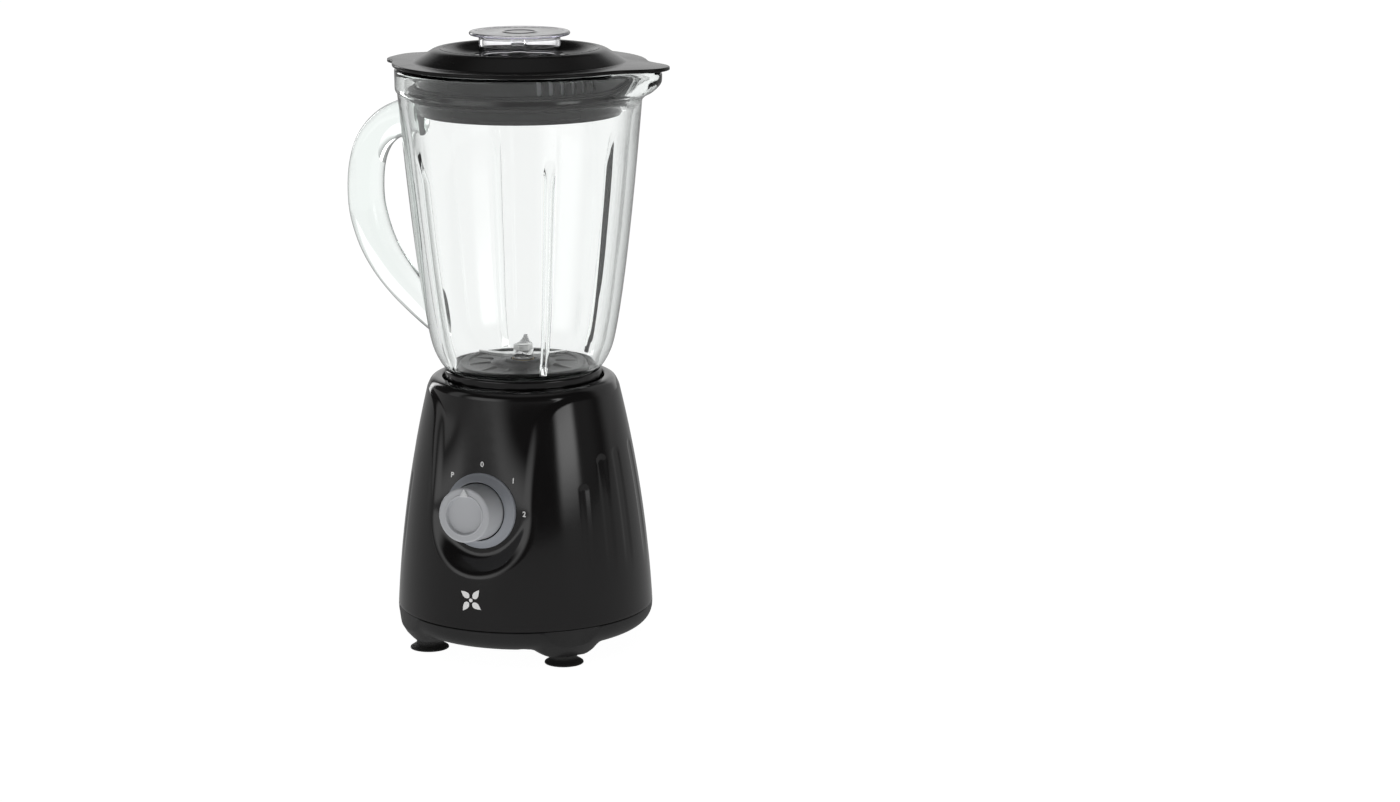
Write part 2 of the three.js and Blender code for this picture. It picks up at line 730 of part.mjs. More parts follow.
function fan() {
  const hub = rod(9, fanZ, fanZ + fanHeight, MEDIUM);
  const disc = rod(fanRadius, fanZ + fanHeight - 1.6, fanZ + fanHeight, MEDIUM);
  const vanes = around(fanBlades).map((angle) => (
    turned(block(-0.8, 0.8, 7, fanRadius - 1, fanZ, fanZ + fanHeight - 1), angle)
  ));
  return cut(join(hub, disc, ...vanes), shaftHole(fanZ, fanZ + fanHeight));
}
part("cooling_fan", fan(), nylonWhite);

// The drive coupling is a cup with a star-shaped pocket; the blade's star drops into it.
const driveZ = wellFloorZ - 7;
const driveTopZ = bladeFlangeZ - 1.4;
part("drive_coupling", cut(
  rod(couplingRadius, driveZ, driveTopZ, MEDIUM),
  prism(star(starRadius - starSwell + 2 * gap, starSwell, starLobes), shaftTopZ + 1.4, driveTopZ + 1),
  rod(shaftRadius + gap, driveZ - 1, shaftTopZ + gap),
), satinBlack);

// ---------------------------------------------------------------- glass jar

function glassOutside() {
  const wall = levels(glassFootZ + 3, wallTopZ, 8).map((z) => [jarRadius(z), z]);
  return lathe([
    [0, neckBottomZ], [neckRadius, neckBottomZ], [neckRadius, glassFootZ], [jarFootRadius, glassFootZ],
    ...wall, [rimRadius, wallTopZ + 2], [rimRadius, rimTopZ - 1.5], [rimRadius - 1.5, rimTopZ], [0, rimTopZ],
  ]);
}

function glassInside() {
  const neckInner = neckRadius - neckWall;
  const wall = levels(glassFootZ + 8, wallTopZ, 7).map((z) => [jarRadius(z) - jarWall, z]);
  return lathe([
    [0, neckBottomZ - 1], [neckInner, neckBottomZ - 1], [neckInner, glassFootZ + 1], ...wall,
    [jarTopRadius - jarWall + 1, wallTopZ + 6], [jarTopRadius - jarWall + 1, rimTopZ + 1], [0, rimTopZ + 1],
  ]);
}

// The handle's middle line, from its root under the rim out and down to its root low on the wall.
function handlePath() {
  const out = handleReach - handleThickness / 2;
  const topZ = rimTopZ - 33;
  const rootZ = glassFootZ + handleRise;
  const down = (part) => topZ + (rootZ - topZ) * part;
  const points = [
    [jarRadius(topZ) - 5, topZ + 2], [jarRadius(topZ) + 12, topZ - 4],
    [out - 5, down(0.134)], [out, down(0.33)], [out - 3.5, down(0.55)],
    [out - 16, down(0.77)], [out - 34, down(0.937)], [jarRadius(rootZ) - 4, rootZ],
  ];
  return new THREE.CatmullRomCurve3(points.map(([r, z]) => new THREE.Vector3(-r, 0, z)));
}

function buildHandle() {
  const section = new THREE.Shape();
  section.absellipse(0, 0, handleThickness / 2, handleWidth / 2, 0, 2 * Math.PI, false, 0);
  return new THREE.ExtrudeGeometry(section, {
    steps: 14, curveSegments: 5, extrudePath: handlePath(), bevelEnabled: false,
  });
}

function spoutSolid(inset) {
  const reach = spoutReach - inset * 1.4;
  const half = spoutHalfWidth - inset;
  const root = rimRadius * 0.8;
  const low = rimTopZ - spoutDrop + inset * 2;
  const top = rimTopZ + (inset > 0 ? 2 : 0);
  const points = [];
  [-1, 1].forEach((s) => {
    points.push([root, s * (half + 4), top], [root, s * (half + 4), low + 6], [root, s * half * 0.4, low]);
    points.push([rimRadius, s * half, top], [rimRadius, s * half * 0.8, low + 9]);
    points.push([reach - 3, s * half * 0.55, top], [reach, s * half * 0.3, top]);
    points.push([reach - 1, s * half * 0.3, rimTopZ - 8 + inset], [rimRadius - 1, s * half * 0.3, low + 2]);
  });
  return new ConvexGeometry(points.map(([x, y, z]) => new THREE.Vector3(x, y, z)));
}

function buildJar() {
  const ribTopZ = rimTopZ - ribTopDrop;
  const ribs = [ribAngle, -ribAngle, 180 - ribAngle, 180 + ribAngle].map((degrees) => {
    const line = levels(glassFootZ + 6, ribTopZ, 7).map((z) => [jarRadius(z) - jarWall, z]);
    const shape = polygon([
      ...line.map(([r, z], i) => [-(r - ribDepth * Math.min(1, (line.length - 1 - i) / 2)), z]),
      ...line.reverse().map(([r, z]) => [-(r + 2), z]),
    ]);
    const rib = prism(shape, -ribWidth / 2, ribWidth / 2).rotateX(Math.PI / 2).rotateZ(Math.PI / 2);
    return turned(rib, degrees * DEG);
  });
  const body = join(glassOutside(), buildHandle(), spoutSolid(0));
  return join(cut(body, glassInside(), spoutSolid(4.2)), ...ribs);
}
part("glass_jar", buildJar(), clearGlass);

// ---------------------------------------------------------------- blade unit

part("jar_collar", lathe([
  [30, bladeFlangeZ - 2.6 - gap], [collarInner, bladeFlangeZ - 2.6 - gap], [collarInner, collarBottomZ],
  [collarRadius, collarBottomZ], [collarRadius, collarTopZ], [neckRadius + gap, collarTopZ],
  [neckRadius + gap, bladeFlangeZ - gap], [30, bladeFlangeZ - gap],
]), satinBlack);

const baseRadius = neckRadius - neckWall - gap;
const bushRadius = bladeShaftRadius + bushWall + runningGap;
part("blade_base", lathe([
  [bushRadius + gap, bladeFlangeZ], [neckRadius - 0.4, bladeFlangeZ], [neckRadius - 0.4, bladeFlangeTopZ],
  [baseRadius, bladeFlangeTopZ], [baseRadius, jarFloorZ - 1.5], [baseRadius - 2, jarFloorZ],
  [bushRadius + 6, jarFloorZ], [bushRadius + 4, jarFloorZ + 1], [bushRadius + gap, jarFloorZ + 1],
]), satinBlack);

part("jar_gasket", tube(
  baseRadius + gap, neckRadius - 0.4, bladeFlangeTopZ + gap, gasketZ, ROUND,
), rubberBlack);

const bladeZ = jarFloorZ + 3;
const nutRadius = bladeShaftRadius + 2.4;
part("blade_bush", tube(
  bladeShaftRadius + runningGap, bushRadius, bladeFlangeZ + 1, jarFloorZ + 1, 20,
), bronze);

const starZ = shaftTopZ + 1.8;
const starTopZ = bladeFlangeZ - 0.8;
part("driven_coupling", cut(
  prism(star(starRadius - starSwell, starSwell - 0.4, starLobes), starZ, starTopZ),
  rod(bladeShaftRadius + gap, starZ + 1.2, starTopZ + 1),
), satinBlack);

const nutZ = bladeZ + 2 * bladeThickness + 2 * gap;
part("blade_shaft", rod(bladeShaftRadius, starZ + 1.2 + gap, nutZ + 2.2), steel);

part("blade_washer", tube(
  bladeShaftRadius + gap, nutRadius, jarFloorZ + 1 + gap, bladeZ - gap, 20,
), steel);

// A pair of opposite prongs cut from strip; the tips bend up or down.
function prongs(z, bendUp, angle) {
  const flat = bladeRadius * 0.55;
  const outline = [[-flat, z], [flat, z], [bladeRadius, z + bendUp]];
  const shape = polygon([
    ...outline, [bladeRadius - 0.4, z + bendUp + bladeThickness], [flat - 0.4, z + bladeThickness],
    [-flat + 0.4, z + bladeThickness], [-bladeRadius + 0.4, z + bendUp + bladeThickness],
    [-bladeRadius, z + bendUp],
  ]);
  const strip = prism(shape, -bladeWidth / 2, bladeWidth / 2).rotateX(Math.PI / 2);
  const plan = polygon([
    [-bladeRadius - 1, -1], [-flat, -bladeWidth / 2], [flat, -bladeWidth / 2], [bladeRadius + 1, 1],
    [flat, bladeWidth / 2], [-flat, bladeWidth / 2],
  ]);
  const trimmed = overlap(strip, prism(plan, z - 20, z + 30));
  return turned(cut(trimmed, rod(bladeShaftRadius + gap, z - 2, z + 4)), angle);
}
part("blade_lower", prongs(bladeZ, 1.6, 20 * DEG), steel);
part("blade_upper", prongs(bladeZ + bladeThickness + gap, 5, 110 * DEG), steel);

part("blade_nut", cut(
  prism(polygon(around(6).map((a) => [nutRadius * Math.cos(a), nutRadius * Math.sin(a)])), nutZ, nutZ + 3.6),
  rod(bladeShaftRadius + gap, nutZ - 1, nutZ + 2.6),
), steel);

// ---------------------------------------------------------------- lid and measuring cap

const capRadius = capSkirtRadius + capLip;
const capHole = capSkirtRadius + gap;
const dishRadius = capRadius + 1.5;
const dishZ = flangeTopZ + 2;
const crestZ = flangeTopZ + domeRise;

function lidPlate() {
  const plate = (reach, half, end) => new ConvexGeometry([-1, 1].flatMap((s) => [
    [0, s * half * 1.35], [reach - end, s * half], [reach, s * half * 0.55],
  ].flatMap(([x, y]) => [new THREE.Vector3(x, y, flangeZ), new THREE.Vector3(x, y, flangeTopZ)])));
  const tab = plate(lidTabReach, lidTabHalfWidth, 8);
  const lobe = plate(lidLobeReach, lidLobeHalfWidth, 4).rotateZ(Math.PI);
  const disc = rod(lidRadius, flangeZ, flangeTopZ, ROUND);
  return cut(join(disc, tab, lobe), rod(plugRadius - 6, flangeZ - 1, flangeTopZ + 1, ROUND));
}

function lidShell() {
  const crest = [
    [domeRadius, flangeTopZ - 0.2], [domeRadius - 3, flangeTopZ + domeRise * 0.45],
    [domeCrestRadius + 5, crestZ - 1.2], [domeCrestRadius, crestZ], [domeCrestRadius - 3.5, crestZ - 1],
    [dishRadius + 5, dishZ + 1.6], [dishRadius, dishZ], [capHole, dishZ],
  ];
  const plugInner = plugRadius - lidWall;
  return lathe([
    [plugRadius, plugBottomZ], [plugRadius, flangeZ + 0.5], ...crest, [capHole, dishZ - 10],
    [capHole + lidWall, dishZ - 10], [capHole + lidWall, dishZ - lidWall],
    [dishRadius + 2, dishZ - lidWall], [domeCrestRadius - 2, crestZ - lidWall - 1],
    [domeCrestRadius + 2, crestZ - lidWall - 1], [domeRadius - 5, flangeTopZ], [plugInner, flangeZ - 2],
    [plugInner, plugBottomZ],
  ]);
}

function buildLid() {
  const slot = block(plugRadius - 5, plugRadius + 3, -1.6, 1.6, flangeZ - 11.8, flangeZ - 4.6);
  const slots = Array.from({ length: strainerSlots }, (_, i) => (
    turned(slot, (strainerAngle + (i - (strainerSlots - 1) / 2) * strainerStep) * DEG)
  ));
  return cut(join(lidPlate(), lidShell()), ...slots);
}
part("lid", buildLid(), glossBlack);

const sealZ = flangeZ - 20.5;
const sealRadius = jarRadius(sealZ) - jarWall - sealPlay;
part("lid_seal", lathe([
  [plugRadius + gap, sealZ], [plugRadius + 2, sealZ], [sealRadius, sealZ + 2], [plugRadius + 2, sealZ + 4.3],
  [sealRadius, sealZ + 6.3], [plugRadius + 2, sealZ + 8.6], [plugRadius + gap, sealZ + 8.6],
]), rubberBlack);

const ledgeZ = dishZ + gap;
const capBottomZ = capTopZ - capSkirtLength;
part("measuring_cap", lathe([
  [0, capTopZ - capWall], [0, capTopZ], [capRadius - 0.6, capTopZ], [capRadius, capTopZ - 0.6],
  [capRadius, capTopZ - 1.8], [capSkirtRadius, capTopZ - 3], [capSkirtRadius, ledgeZ + 1.8],
  [capSkirtRadius + 3.4, ledgeZ + 1.6], [capSkirtRadius + 3.4, ledgeZ], [capSkirtRadius, ledgeZ],
  [capSkirtRadius - 0.8, capBottomZ], [capSkirtRadius - 0.8 - capWall, capBottomZ],
  [capSkirtRadius - capWall, ledgeZ], [capSkirtRadius - capWall, capTopZ - 3],
  [capSkirtRadius - capWall - 1, capTopZ - capWall],
], 28), clearPlastic);

export default blender;
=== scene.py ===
# %% [markdown]
# # A countertop blender, piece by piece
# The blender is a black motor base with a speed knob, a pressed-glass jar, a four-armed blade, a black
# lid and a clear measuring cap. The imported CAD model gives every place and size, so it is loaded first
# and never moved. Each visible CAD solid is then replaced by a finer surface on the same spot.

import json
import math

import bmesh
import bpy
import numpy as np
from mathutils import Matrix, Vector


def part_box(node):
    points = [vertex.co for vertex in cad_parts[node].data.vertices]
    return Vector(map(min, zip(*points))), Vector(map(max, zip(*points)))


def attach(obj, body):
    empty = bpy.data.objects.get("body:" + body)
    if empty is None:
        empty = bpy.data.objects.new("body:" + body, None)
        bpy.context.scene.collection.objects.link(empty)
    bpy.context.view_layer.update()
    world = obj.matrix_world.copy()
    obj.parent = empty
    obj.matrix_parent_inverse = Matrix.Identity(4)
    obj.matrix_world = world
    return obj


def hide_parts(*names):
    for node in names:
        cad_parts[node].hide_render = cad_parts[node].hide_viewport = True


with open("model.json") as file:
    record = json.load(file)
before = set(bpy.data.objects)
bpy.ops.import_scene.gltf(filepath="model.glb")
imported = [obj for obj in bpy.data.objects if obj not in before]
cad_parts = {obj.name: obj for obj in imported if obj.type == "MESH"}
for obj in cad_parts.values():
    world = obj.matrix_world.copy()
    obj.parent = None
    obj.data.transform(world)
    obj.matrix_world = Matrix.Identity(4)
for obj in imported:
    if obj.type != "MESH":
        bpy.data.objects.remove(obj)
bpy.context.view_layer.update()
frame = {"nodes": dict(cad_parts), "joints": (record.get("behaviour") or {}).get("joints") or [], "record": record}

# %% [markdown]
# ## One ruler for all pieces
# Nearly every piece is turned about the jar's axis, so shapes are easiest to think of in millimetres
# about that axis, with the table at z = 0. The housing is round, so the middle of its box is the axis.
# The same trick, box corners less the axis, gives the stations that the pieces share.

# %% Axis and stations
MM = 0.001
BASE_LOW, BASE_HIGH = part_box("motor_housing")
AXIS = np.array([(BASE_LOW.x + BASE_HIGH.x) / 2, (BASE_LOW.y + BASE_HIGH.y) / 2, 0.0])


def span(node):
    """Lowest and highest corner of a CAD node, in mm about the jar's axis."""
    return [(np.array(corner) - AXIS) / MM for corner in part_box(node)]


housing_low, housing_high = span("motor_housing")
SEAM_R, SEAM_Z, DECK_Z = housing_high[0], housing_low[2], housing_high[2]
KNOB_JOINT = next(joint for joint in frame["joints"] if joint["name"] == "knob_turn")
KNOB_AT = (np.array(KNOB_JOINT["pos_m"]) - AXIS) / MM
KNOB_OUT = -np.array(KNOB_JOINT["axis"]) / np.linalg.norm(KNOB_JOINT["axis"])
KNOB_RIGHT = np.array([1.0, 0.0, 0.0])
KNOB_UP = np.cross(KNOB_OUT, KNOB_RIGHT)
print("seam", SEAM_R, SEAM_Z, "deck", DECK_Z, "knob", KNOB_AT, KNOB_OUT, KNOB_UP)

# %% [markdown]
# ## Shapes as arrays
# A moulded or turned part is a profile carried round an axis, so a part can be a grid of points: one row
# per profile point and one column per angle. numpy works out the whole grid at once. Corners of a real
# profile are never sharp, so a helper rounds them first, and smooth steps join one depth to another.


# %% Curves
def soft_clamp(x, blur=0.4):
    """x held between 0 and 1, with rounded corners: the running mean of the clamp over a width of blur,
    which is (Q(x + blur/2) - Q(x - blur/2)) / blur, where Q is the clamp's integral."""

    def integral(v):
        return np.where(v > 1, v - 0.5, 0.5 * np.clip(v, 0, 1) ** 2)

    return (integral(x + blur / 2) - integral(x - blur / 2)) / blur


def smooth_step(x, low, high):
    """0 below low, 1 above high, and 3t^2 - 2t^3 between them."""
    t = np.clip((x - low) / (high - low), 0, 1)
    return t * t * (3 - 2 * t)


def bump_of(x, width, power=2.0):
    """A bell exp(-(|x| / width) ^ power); a larger power makes its top flatter."""
    return np.exp(-((np.abs(x) / width) ** power))


def rounded(outline, steps=5):
    """A polyline with its corners rounded. A row is (r, z, cut). The corner C is cut back by that length
    to A and B, and (1-t)^2 A + 2t(1-t) C + t^2 B takes its place."""
    rows = np.array([(*row, 0.0)[:3] for row in outline], float)
    corner, cut = rows[:, :2], rows[:, 2:]
    sides = [np.roll(corner, shift, 0) - corner for shift in (1, -1)]
    a, b = [corner + side / np.linalg.norm(side, axis=1, keepdims=True) * cut for side in sides]
    t = np.linspace(0, 1, steps + 1)[None, :, None]
    curve = (1 - t) ** 2 * a[:, None] + 2 * t * (1 - t) * corner[:, None] + t**2 * b[:, None]
    points = curve.reshape(-1, 2)
    apart = np.linalg.norm(points - np.roll(points, 1, 0), axis=1) > 1e-4
    return points[apart]


def through(rows, steps=8):
    """A smooth curve through every row of numbers: the Catmull-Rom blend of four neighbouring rows."""
    rows = np.asarray(rows, float)
    padded = np.vstack([2 * rows[0] - rows[1], rows, 2 * rows[-1] - rows[-2]])
    p0, p1, p2, p3 = [padded[k : len(padded) - 3 + k, None] for k in range(4)]
    t = np.linspace(0, 1, steps, endpoint=False)[None, :, None]
    curve = p1 + 0.5 * t * (p2 - p0 + t * (2 * p0 - 5 * p1 + 4 * p2 - p3 + t * (3 * (p1 - p2) + p3 - p0)))
    return np.vstack([curve.reshape(-1, rows.shape[1]), rows[-1:]])


print("half a soft step:", float(soft_clamp(np.array(0.5))))


# %% Grids
def turn(radius, angle, height):
    """Points at a radius and an angle about Z. Angle 0 is the front, -Y, and 90 degrees is +X:
    x = r sin a, y = -r cos a."""
    radius, angle, height = np.broadcast_arrays(radius, angle, height)
    return np.stack([radius * np.sin(angle), -radius * np.cos(angle), height], -1)


def beside(out, aside, angle, height):
    """Points at a distance out along the radius at an angle, and aside square to it:
    x = out sin a + aside cos a, y = -out cos a + aside sin a."""
    x = out * math.sin(angle) + aside * math.cos(angle)
    y = -out * math.cos(angle) + aside * math.sin(angle)
    return np.stack(np.broadcast_arrays(x, y, height), -1)


def circle(columns):
    return np.linspace(0, 2 * np.pi, columns, endpoint=False)


def squared(wave, power):
    """A sine or cosine made squarer, for superellipses: sign(v) |v| ^ power."""
    return np.sign(wave) * np.abs(wave) ** power


def lathe(outline, columns=96, steps=5):
    """Grid of a turned piece from its rounded outline: row i of the outline makes a ring of points."""
    profile = rounded(outline, steps)
    return turn(profile[:, :1], circle(columns)[None], profile[:, 1:])


def shifted(points, x=0.0, y=0.0, z=0.0):
    return points + np.array([x, y, z])


def on_dial(points):
    """Carries a grid drawn flat, with z pointing out, to the tilted front panel's knob."""
    return KNOB_AT + points[..., :1] * KNOB_RIGHT + points[..., 1:2] * KNOB_UP + points[..., 2:] * KNOB_OUT


def closed_ends(grid):
    """Adds a row at each end of a swept grid, drawn in to the middle of the last section."""
    first, last = [np.broadcast_to(grid[k].mean(0), (1, *grid.shape[1:])) for k in (0, -1)]
    return np.concatenate([first, grid, last])


def quads(rows, columns, loop):
    """Faces of a grid whose columns close round: point (i, j) joins (i, j+1), (i+1, j+1), (i+1, j).
    With loop, the last row joins the first."""
    i = np.arange(rows if loop else rows - 1)[:, None]
    j = np.arange(columns)[None]
    below, right = (i + 1) % rows, (j + 1) % columns
    return np.stack([i * columns + j, i * columns + right, below * columns + right, below * columns + j], -1)


print("a ring of 4 by 6 points has", quads(4, 6, True).reshape(-1, 4).shape[0], "faces")

# %% [markdown]
# ## From a grid to a piece
# The faces of a grid follow from its size, so they come from index arithmetic. Rows that shrink to one
# point, at a pole, are merged, and the normals are then made to point outwards. Smooth shading is kept
# off real edges by their angle. The finished mesh stands at its own place, with its object at the origin.

# %% Pieces
PIECES = {}
SMOOTH_BELOW = 32.0  # degrees between faces that are shaded as one surface
MERGE_M, COLLAPSED_M = 2e-6, 1e-7


def piece(name, grids, body, finish, replaces=(), loop=True, edge=SMOOTH_BELOW):
    """One mesh from one or more grids of mm points. Its place is in the mesh; it rides on a body."""
    points, faces, start = [], [], 0
    for grid in grids if isinstance(grids, list) else [grids]:
        rows, columns = grid.shape[:2]
        points.append(grid.reshape(-1, 3))
        faces.append(quads(rows, columns, loop).reshape(-1, 4) + start)
        start += rows * columns
    mesh = bpy.data.meshes.new(name)
    mesh.from_pydata(np.vstack(points) * MM + AXIS, [], np.vstack(faces))
    clean(mesh)
    mesh.shade_smooth()
    mesh.set_sharp_from_angle(angle=math.radians(edge))
    made = bpy.data.objects.new(name, mesh)
    bpy.context.scene.collection.objects.link(made)
    mesh.materials.append(finish)
    if body:
        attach(made, body)
        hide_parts(*replaces)
        PIECES[name] = made
        print(f"{name}: {len(mesh.polygons)} faces")
    return made


def clean(mesh):
    """Merges points that fall together, drops faces that have collapsed, and turns faces outwards."""
    build = bmesh.new()
    build.from_mesh(mesh)
    bmesh.ops.remove_doubles(build, verts=build.verts, dist=MERGE_M)
    bmesh.ops.dissolve_degenerate(build, dist=COLLAPSED_M, edges=build.edges)
    bmesh.ops.recalc_face_normals(build, faces=build.faces)
    build.to_mesh(mesh)
    build.free()


def combine(target, tools, operation="DIFFERENCE"):
    """Cuts the tools from a piece, or joins them to it, and leaves one clean mesh."""
    for tool in tools:
        modifier = target.modifiers.new(operation.lower(), "BOOLEAN")
        modifier.operation, modifier.object, modifier.solver = operation, tool, "EXACT"
    depsgraph = bpy.context.evaluated_depsgraph_get()
    mesh = bpy.data.meshes.new_from_object(target.evaluated_get(depsgraph))
    target.modifiers.clear()
    target.data = mesh
    mesh.set_sharp_from_angle(angle=math.radians(SMOOTH_BELOW))
    for tool in tools:
        bpy.data.objects.remove(tool)
    print(f"{target.name} after {operation.lower()}: {len(mesh.polygons)} faces")


# %% [markdown]
# ## Finishes as expressions
# A procedural finish is arithmetic on noise. Wrapping a socket in a small class lets the arithmetic be
# written as Python: each operator adds one Math node. All other nodes come from a single method, so a
# finish reads as a list of what varies over the surface: colour, roughness and fine relief.


# %% The wire and the finish
class Wire:
    """An output socket that can be added to, taken from and multiplied, by numbers or other wires."""

    def __init__(self, finish, socket):
        self.finish, self.socket = finish, socket

    def math(self, operation, *values):
        return self.finish.node("ShaderNodeMath", {"operation": operation}, dict(enumerate(values)))

    def __add__(self, other):
        return self.math("ADD", self, other)

    def __sub__(self, other):
        return self.math("SUBTRACT", self, other)

    def __rsub__(self, other):
        return self.math("SUBTRACT", other, self)

    def __mul__(self, other):
        return self.math("MULTIPLY", self, other)

    __radd__, __rmul__ = __add__, __mul__


class Finish:
    """A material, or the world, with its nodes."""

    def __init__(self, name, owner=None):
        self.owner = owner or bpy.data.materials.new(name)
        self.owner.use_nodes = True
        self.tree = self.owner.node_tree
        self.tree.nodes.clear()

    def node(self, kind, settings=None, sockets=None, output=0):
        """Adds a node: its settings first, then its sockets, each a plain value or a Wire."""
        made = self.tree.nodes.new(kind)
        for key, value in (settings or {}).items():
            setattr(made, key, value)
        for key, value in (sockets or {}).items():
            if isinstance(value, Wire):
                self.tree.links.new(value.socket, made.inputs[key])
            else:
                made.inputs[key].default_value = value
        return Wire(self, made.outputs[output]) if len(made.outputs) else None

    def place(self):
        return self.node("ShaderNodeTexCoord", output="Object")

    def noise(self, scale, detail=2.0, stretch=(1, 1, 1)):
        """Noise from 0 to 1; scale counts features per metre."""
        where = self.node("ShaderNodeMapping", None, {"Vector": self.place(), "Scale": stretch})
        return self.node("ShaderNodeTexNoise", None, {"Vector": where, "Scale": scale, "Detail": detail})

    def ramp(self, value, low, high, to_low=0.0, to_high=1.0):
        """Maps low..high smoothly to to_low..to_high, and holds it there."""
        between = dict(zip(("From Min", "From Max", "To Min", "To Max"), (low, high, to_low, to_high)))
        smooth = {"interpolation_type": "SMOOTHSTEP"}
        return self.node("ShaderNodeMapRange", smooth, {"Value": value, **between})

    def blend(self, factor, one, other):
        return self.node("ShaderNodeMix", {"data_type": "RGBA"}, {0: factor, 6: one, 7: other}, output=2)

    def relief(self, height, depth):
        """A normal from a height map; depth is in metres."""
        return self.node("ShaderNodeBump", None, {"Height": height, "Distance": depth, "Strength": 1.0})

    def surface(self, **sockets):
        """Ends the material in a Principled shader; absorb adds colour that deepens with thickness."""
        absorb = sockets.pop("absorb", None)
        titles = [key.replace("_", " ").title().replace("Ior", "IOR") for key in sockets]
        named = dict(zip(titles, sockets.values()))
        shader = self.node("ShaderNodeBsdfPrincipled", None, named)
        ends = {"Surface": shader}
        if absorb:
            ends["Volume"] = self.node("ShaderNodeVolumeAbsorption", None, absorb)
        self.node("ShaderNodeOutputMaterial", None, ends)
        return self.owner


def colour(red, green, blue):
    return (red, green, blue, 1.0)


# %% [markdown]
# ## Black and grey plastics
# Glossy ABS shows its light sources almost as a mirror, but a mould is polished by hand: the skin has a
# very slight orange peel, faint flow clouds, and dust and fingertip smears that raise its roughness in
# patches. A satin part is the same plastic from a spark-eroded mould, with a fine even grain. One
# function with a few numbers can give both, so that neighbouring parts look like one family.


# %% Plastics
def plastic(name, dark, light, gloss, smear=0.05, peel=0.0, grain=0.0, grain_size=0.0004, **more):
    """Colour clouds between dark and light; roughness is gloss plus smear where the smears lie."""
    f = Finish(name)
    clouds = f.noise(14.0, 3.0)
    smears = f.ramp(f.noise(38.0, 4.0, (1, 1, 0.45)), 0.45, 0.75)
    specks = f.ramp(f.noise(900.0, 1.0), 0.7, 0.8)
    tint = f.blend(f.ramp(clouds, 0.35, 0.65), colour(*dark), colour(*light))
    rough = gloss + smears * smear + specks * (smear * 1.5)
    height = f.noise(150.0, 1.0) * peel + f.noise(1 / grain_size, 1.5) * grain
    return f.surface(base_color=tint, roughness=rough, normal=f.relief(height, 1.0), **more)


GLOSS = plastic(
    "gloss_black_abs", (0.0055, 0.005, 0.0051), (0.0075, 0.0069, 0.007),
    0.11, 0.04, peel=0.000012,
)
LID_BLACK = plastic(
    "lid_black", (0.006, 0.0057, 0.0057), (0.009, 0.0085, 0.0085),
    0.2, peel=0.000015, specular_ior_level=0.2,
)
SATIN = plastic("satin_black_abs", (0.009, 0.009, 0.0092), (0.013, 0.0128, 0.013), 0.42, grain=0.000008)
RUBBER = plastic(
    "black_rubber", (0.012, 0.012, 0.012), (0.022, 0.0215, 0.021),
    0.62, 0.14, grain=0.00002,
)
KNOB_GREY = plastic("light_grey_abs", (0.43, 0.44, 0.46), (0.47, 0.48, 0.5), 0.4, grain=0.000006)
POINTER_GREY = plastic("pointer_grey_abs", (0.6, 0.61, 0.62), (0.64, 0.65, 0.66), 0.35, grain=0.000006)
RING_GREY = plastic("blue_grey_abs", (0.3, 0.315, 0.345), (0.335, 0.35, 0.38), 0.36, grain=0.000006)
PRINT = plastic("white_print", (0.86, 0.86, 0.85), (0.92, 0.92, 0.91), 0.5, grain=0.000004)
SILICONE = plastic("grey_silicone", (0.1, 0.115, 0.108), (0.15, 0.168, 0.16), 0.4, grain=0.00001)
NYLON = plastic("natural_nylon", (0.66, 0.63, 0.55), (0.74, 0.71, 0.64), 0.45, grain=0.00001)
CARBON = plastic("pressed_carbon", (0.02, 0.02, 0.021), (0.035, 0.035, 0.036), 0.6, grain=0.00002)
RED_COAT = plastic("dipped_red", (0.33, 0.035, 0.02), (0.42, 0.06, 0.03), 0.3, peel=0.00003)
print(len(bpy.data.materials), "finishes so far")

# %% [markdown]
# ## Metals
# The blades are stamped from stainless strip and tumbled: fine grinding lines run one way, and their
# roughness varies more than their colour. Stretching noise along one axis draws such lines. The motor's
# laminations are lines too, one per sheet, and copper is smooth with darker enamel patches.


# %% Metals
def metal(name, dark, light, gloss, stretch=(1, 1, 1), lines=900.0, depth=0.000004):
    """Stretched noise drives the colour, the roughness and a shallow relief together."""
    f = Finish(name)
    brushed = f.noise(lines, 2.0, stretch)
    patches = f.ramp(f.noise(45.0, 3.0), 0.35, 0.7)
    tint = f.blend(brushed * 0.5 + patches * 0.5, colour(*dark), colour(*light))
    rough = gloss + brushed * 0.14 + patches * 0.08
    return f.surface(base_color=tint, roughness=rough, metallic=1.0, normal=f.relief(brushed, depth))


STEEL = metal("stamped_steel", (0.55, 0.55, 0.555), (0.76, 0.76, 0.75), 0.2, (1, 0.06, 1))
CORE_STEEL = metal("stacked_steel", (0.16, 0.16, 0.165), (0.34, 0.34, 0.345), 0.4, (0.02, 0.02, 1), 1600.0)
COPPER = metal("enamelled_copper", (0.42, 0.16, 0.07), (0.68, 0.31, 0.15), 0.26, (1, 1, 0.1), 700.0)
BRONZE = metal("sintered_bronze", (0.36, 0.25, 0.11), (0.52, 0.38, 0.19), 0.45, (1, 1, 1), 2500.0)

# %% [markdown]
# ## Glass and clear plastic
# Pressed glass is clear, but it bends light unevenly because its skin ripples where it cooled against
# the mould, and its thick parts look green. Colour that comes from depth needs absorption inside the
# volume, not a tinted surface. Where the skin is seen edge on, its colour is darkened as painted shade
# for the dark edges that black flags give. The cap is clear plastic: smoother, and faintly violet in its
# thick rim.


# %% Clear materials
# Painted edge shade: the share of the tint that the skin's colour keeps where it is seen edge on.
EDGE_SHADE_SHARE = 0.02  # of its tint, left where the skin is seen edge on


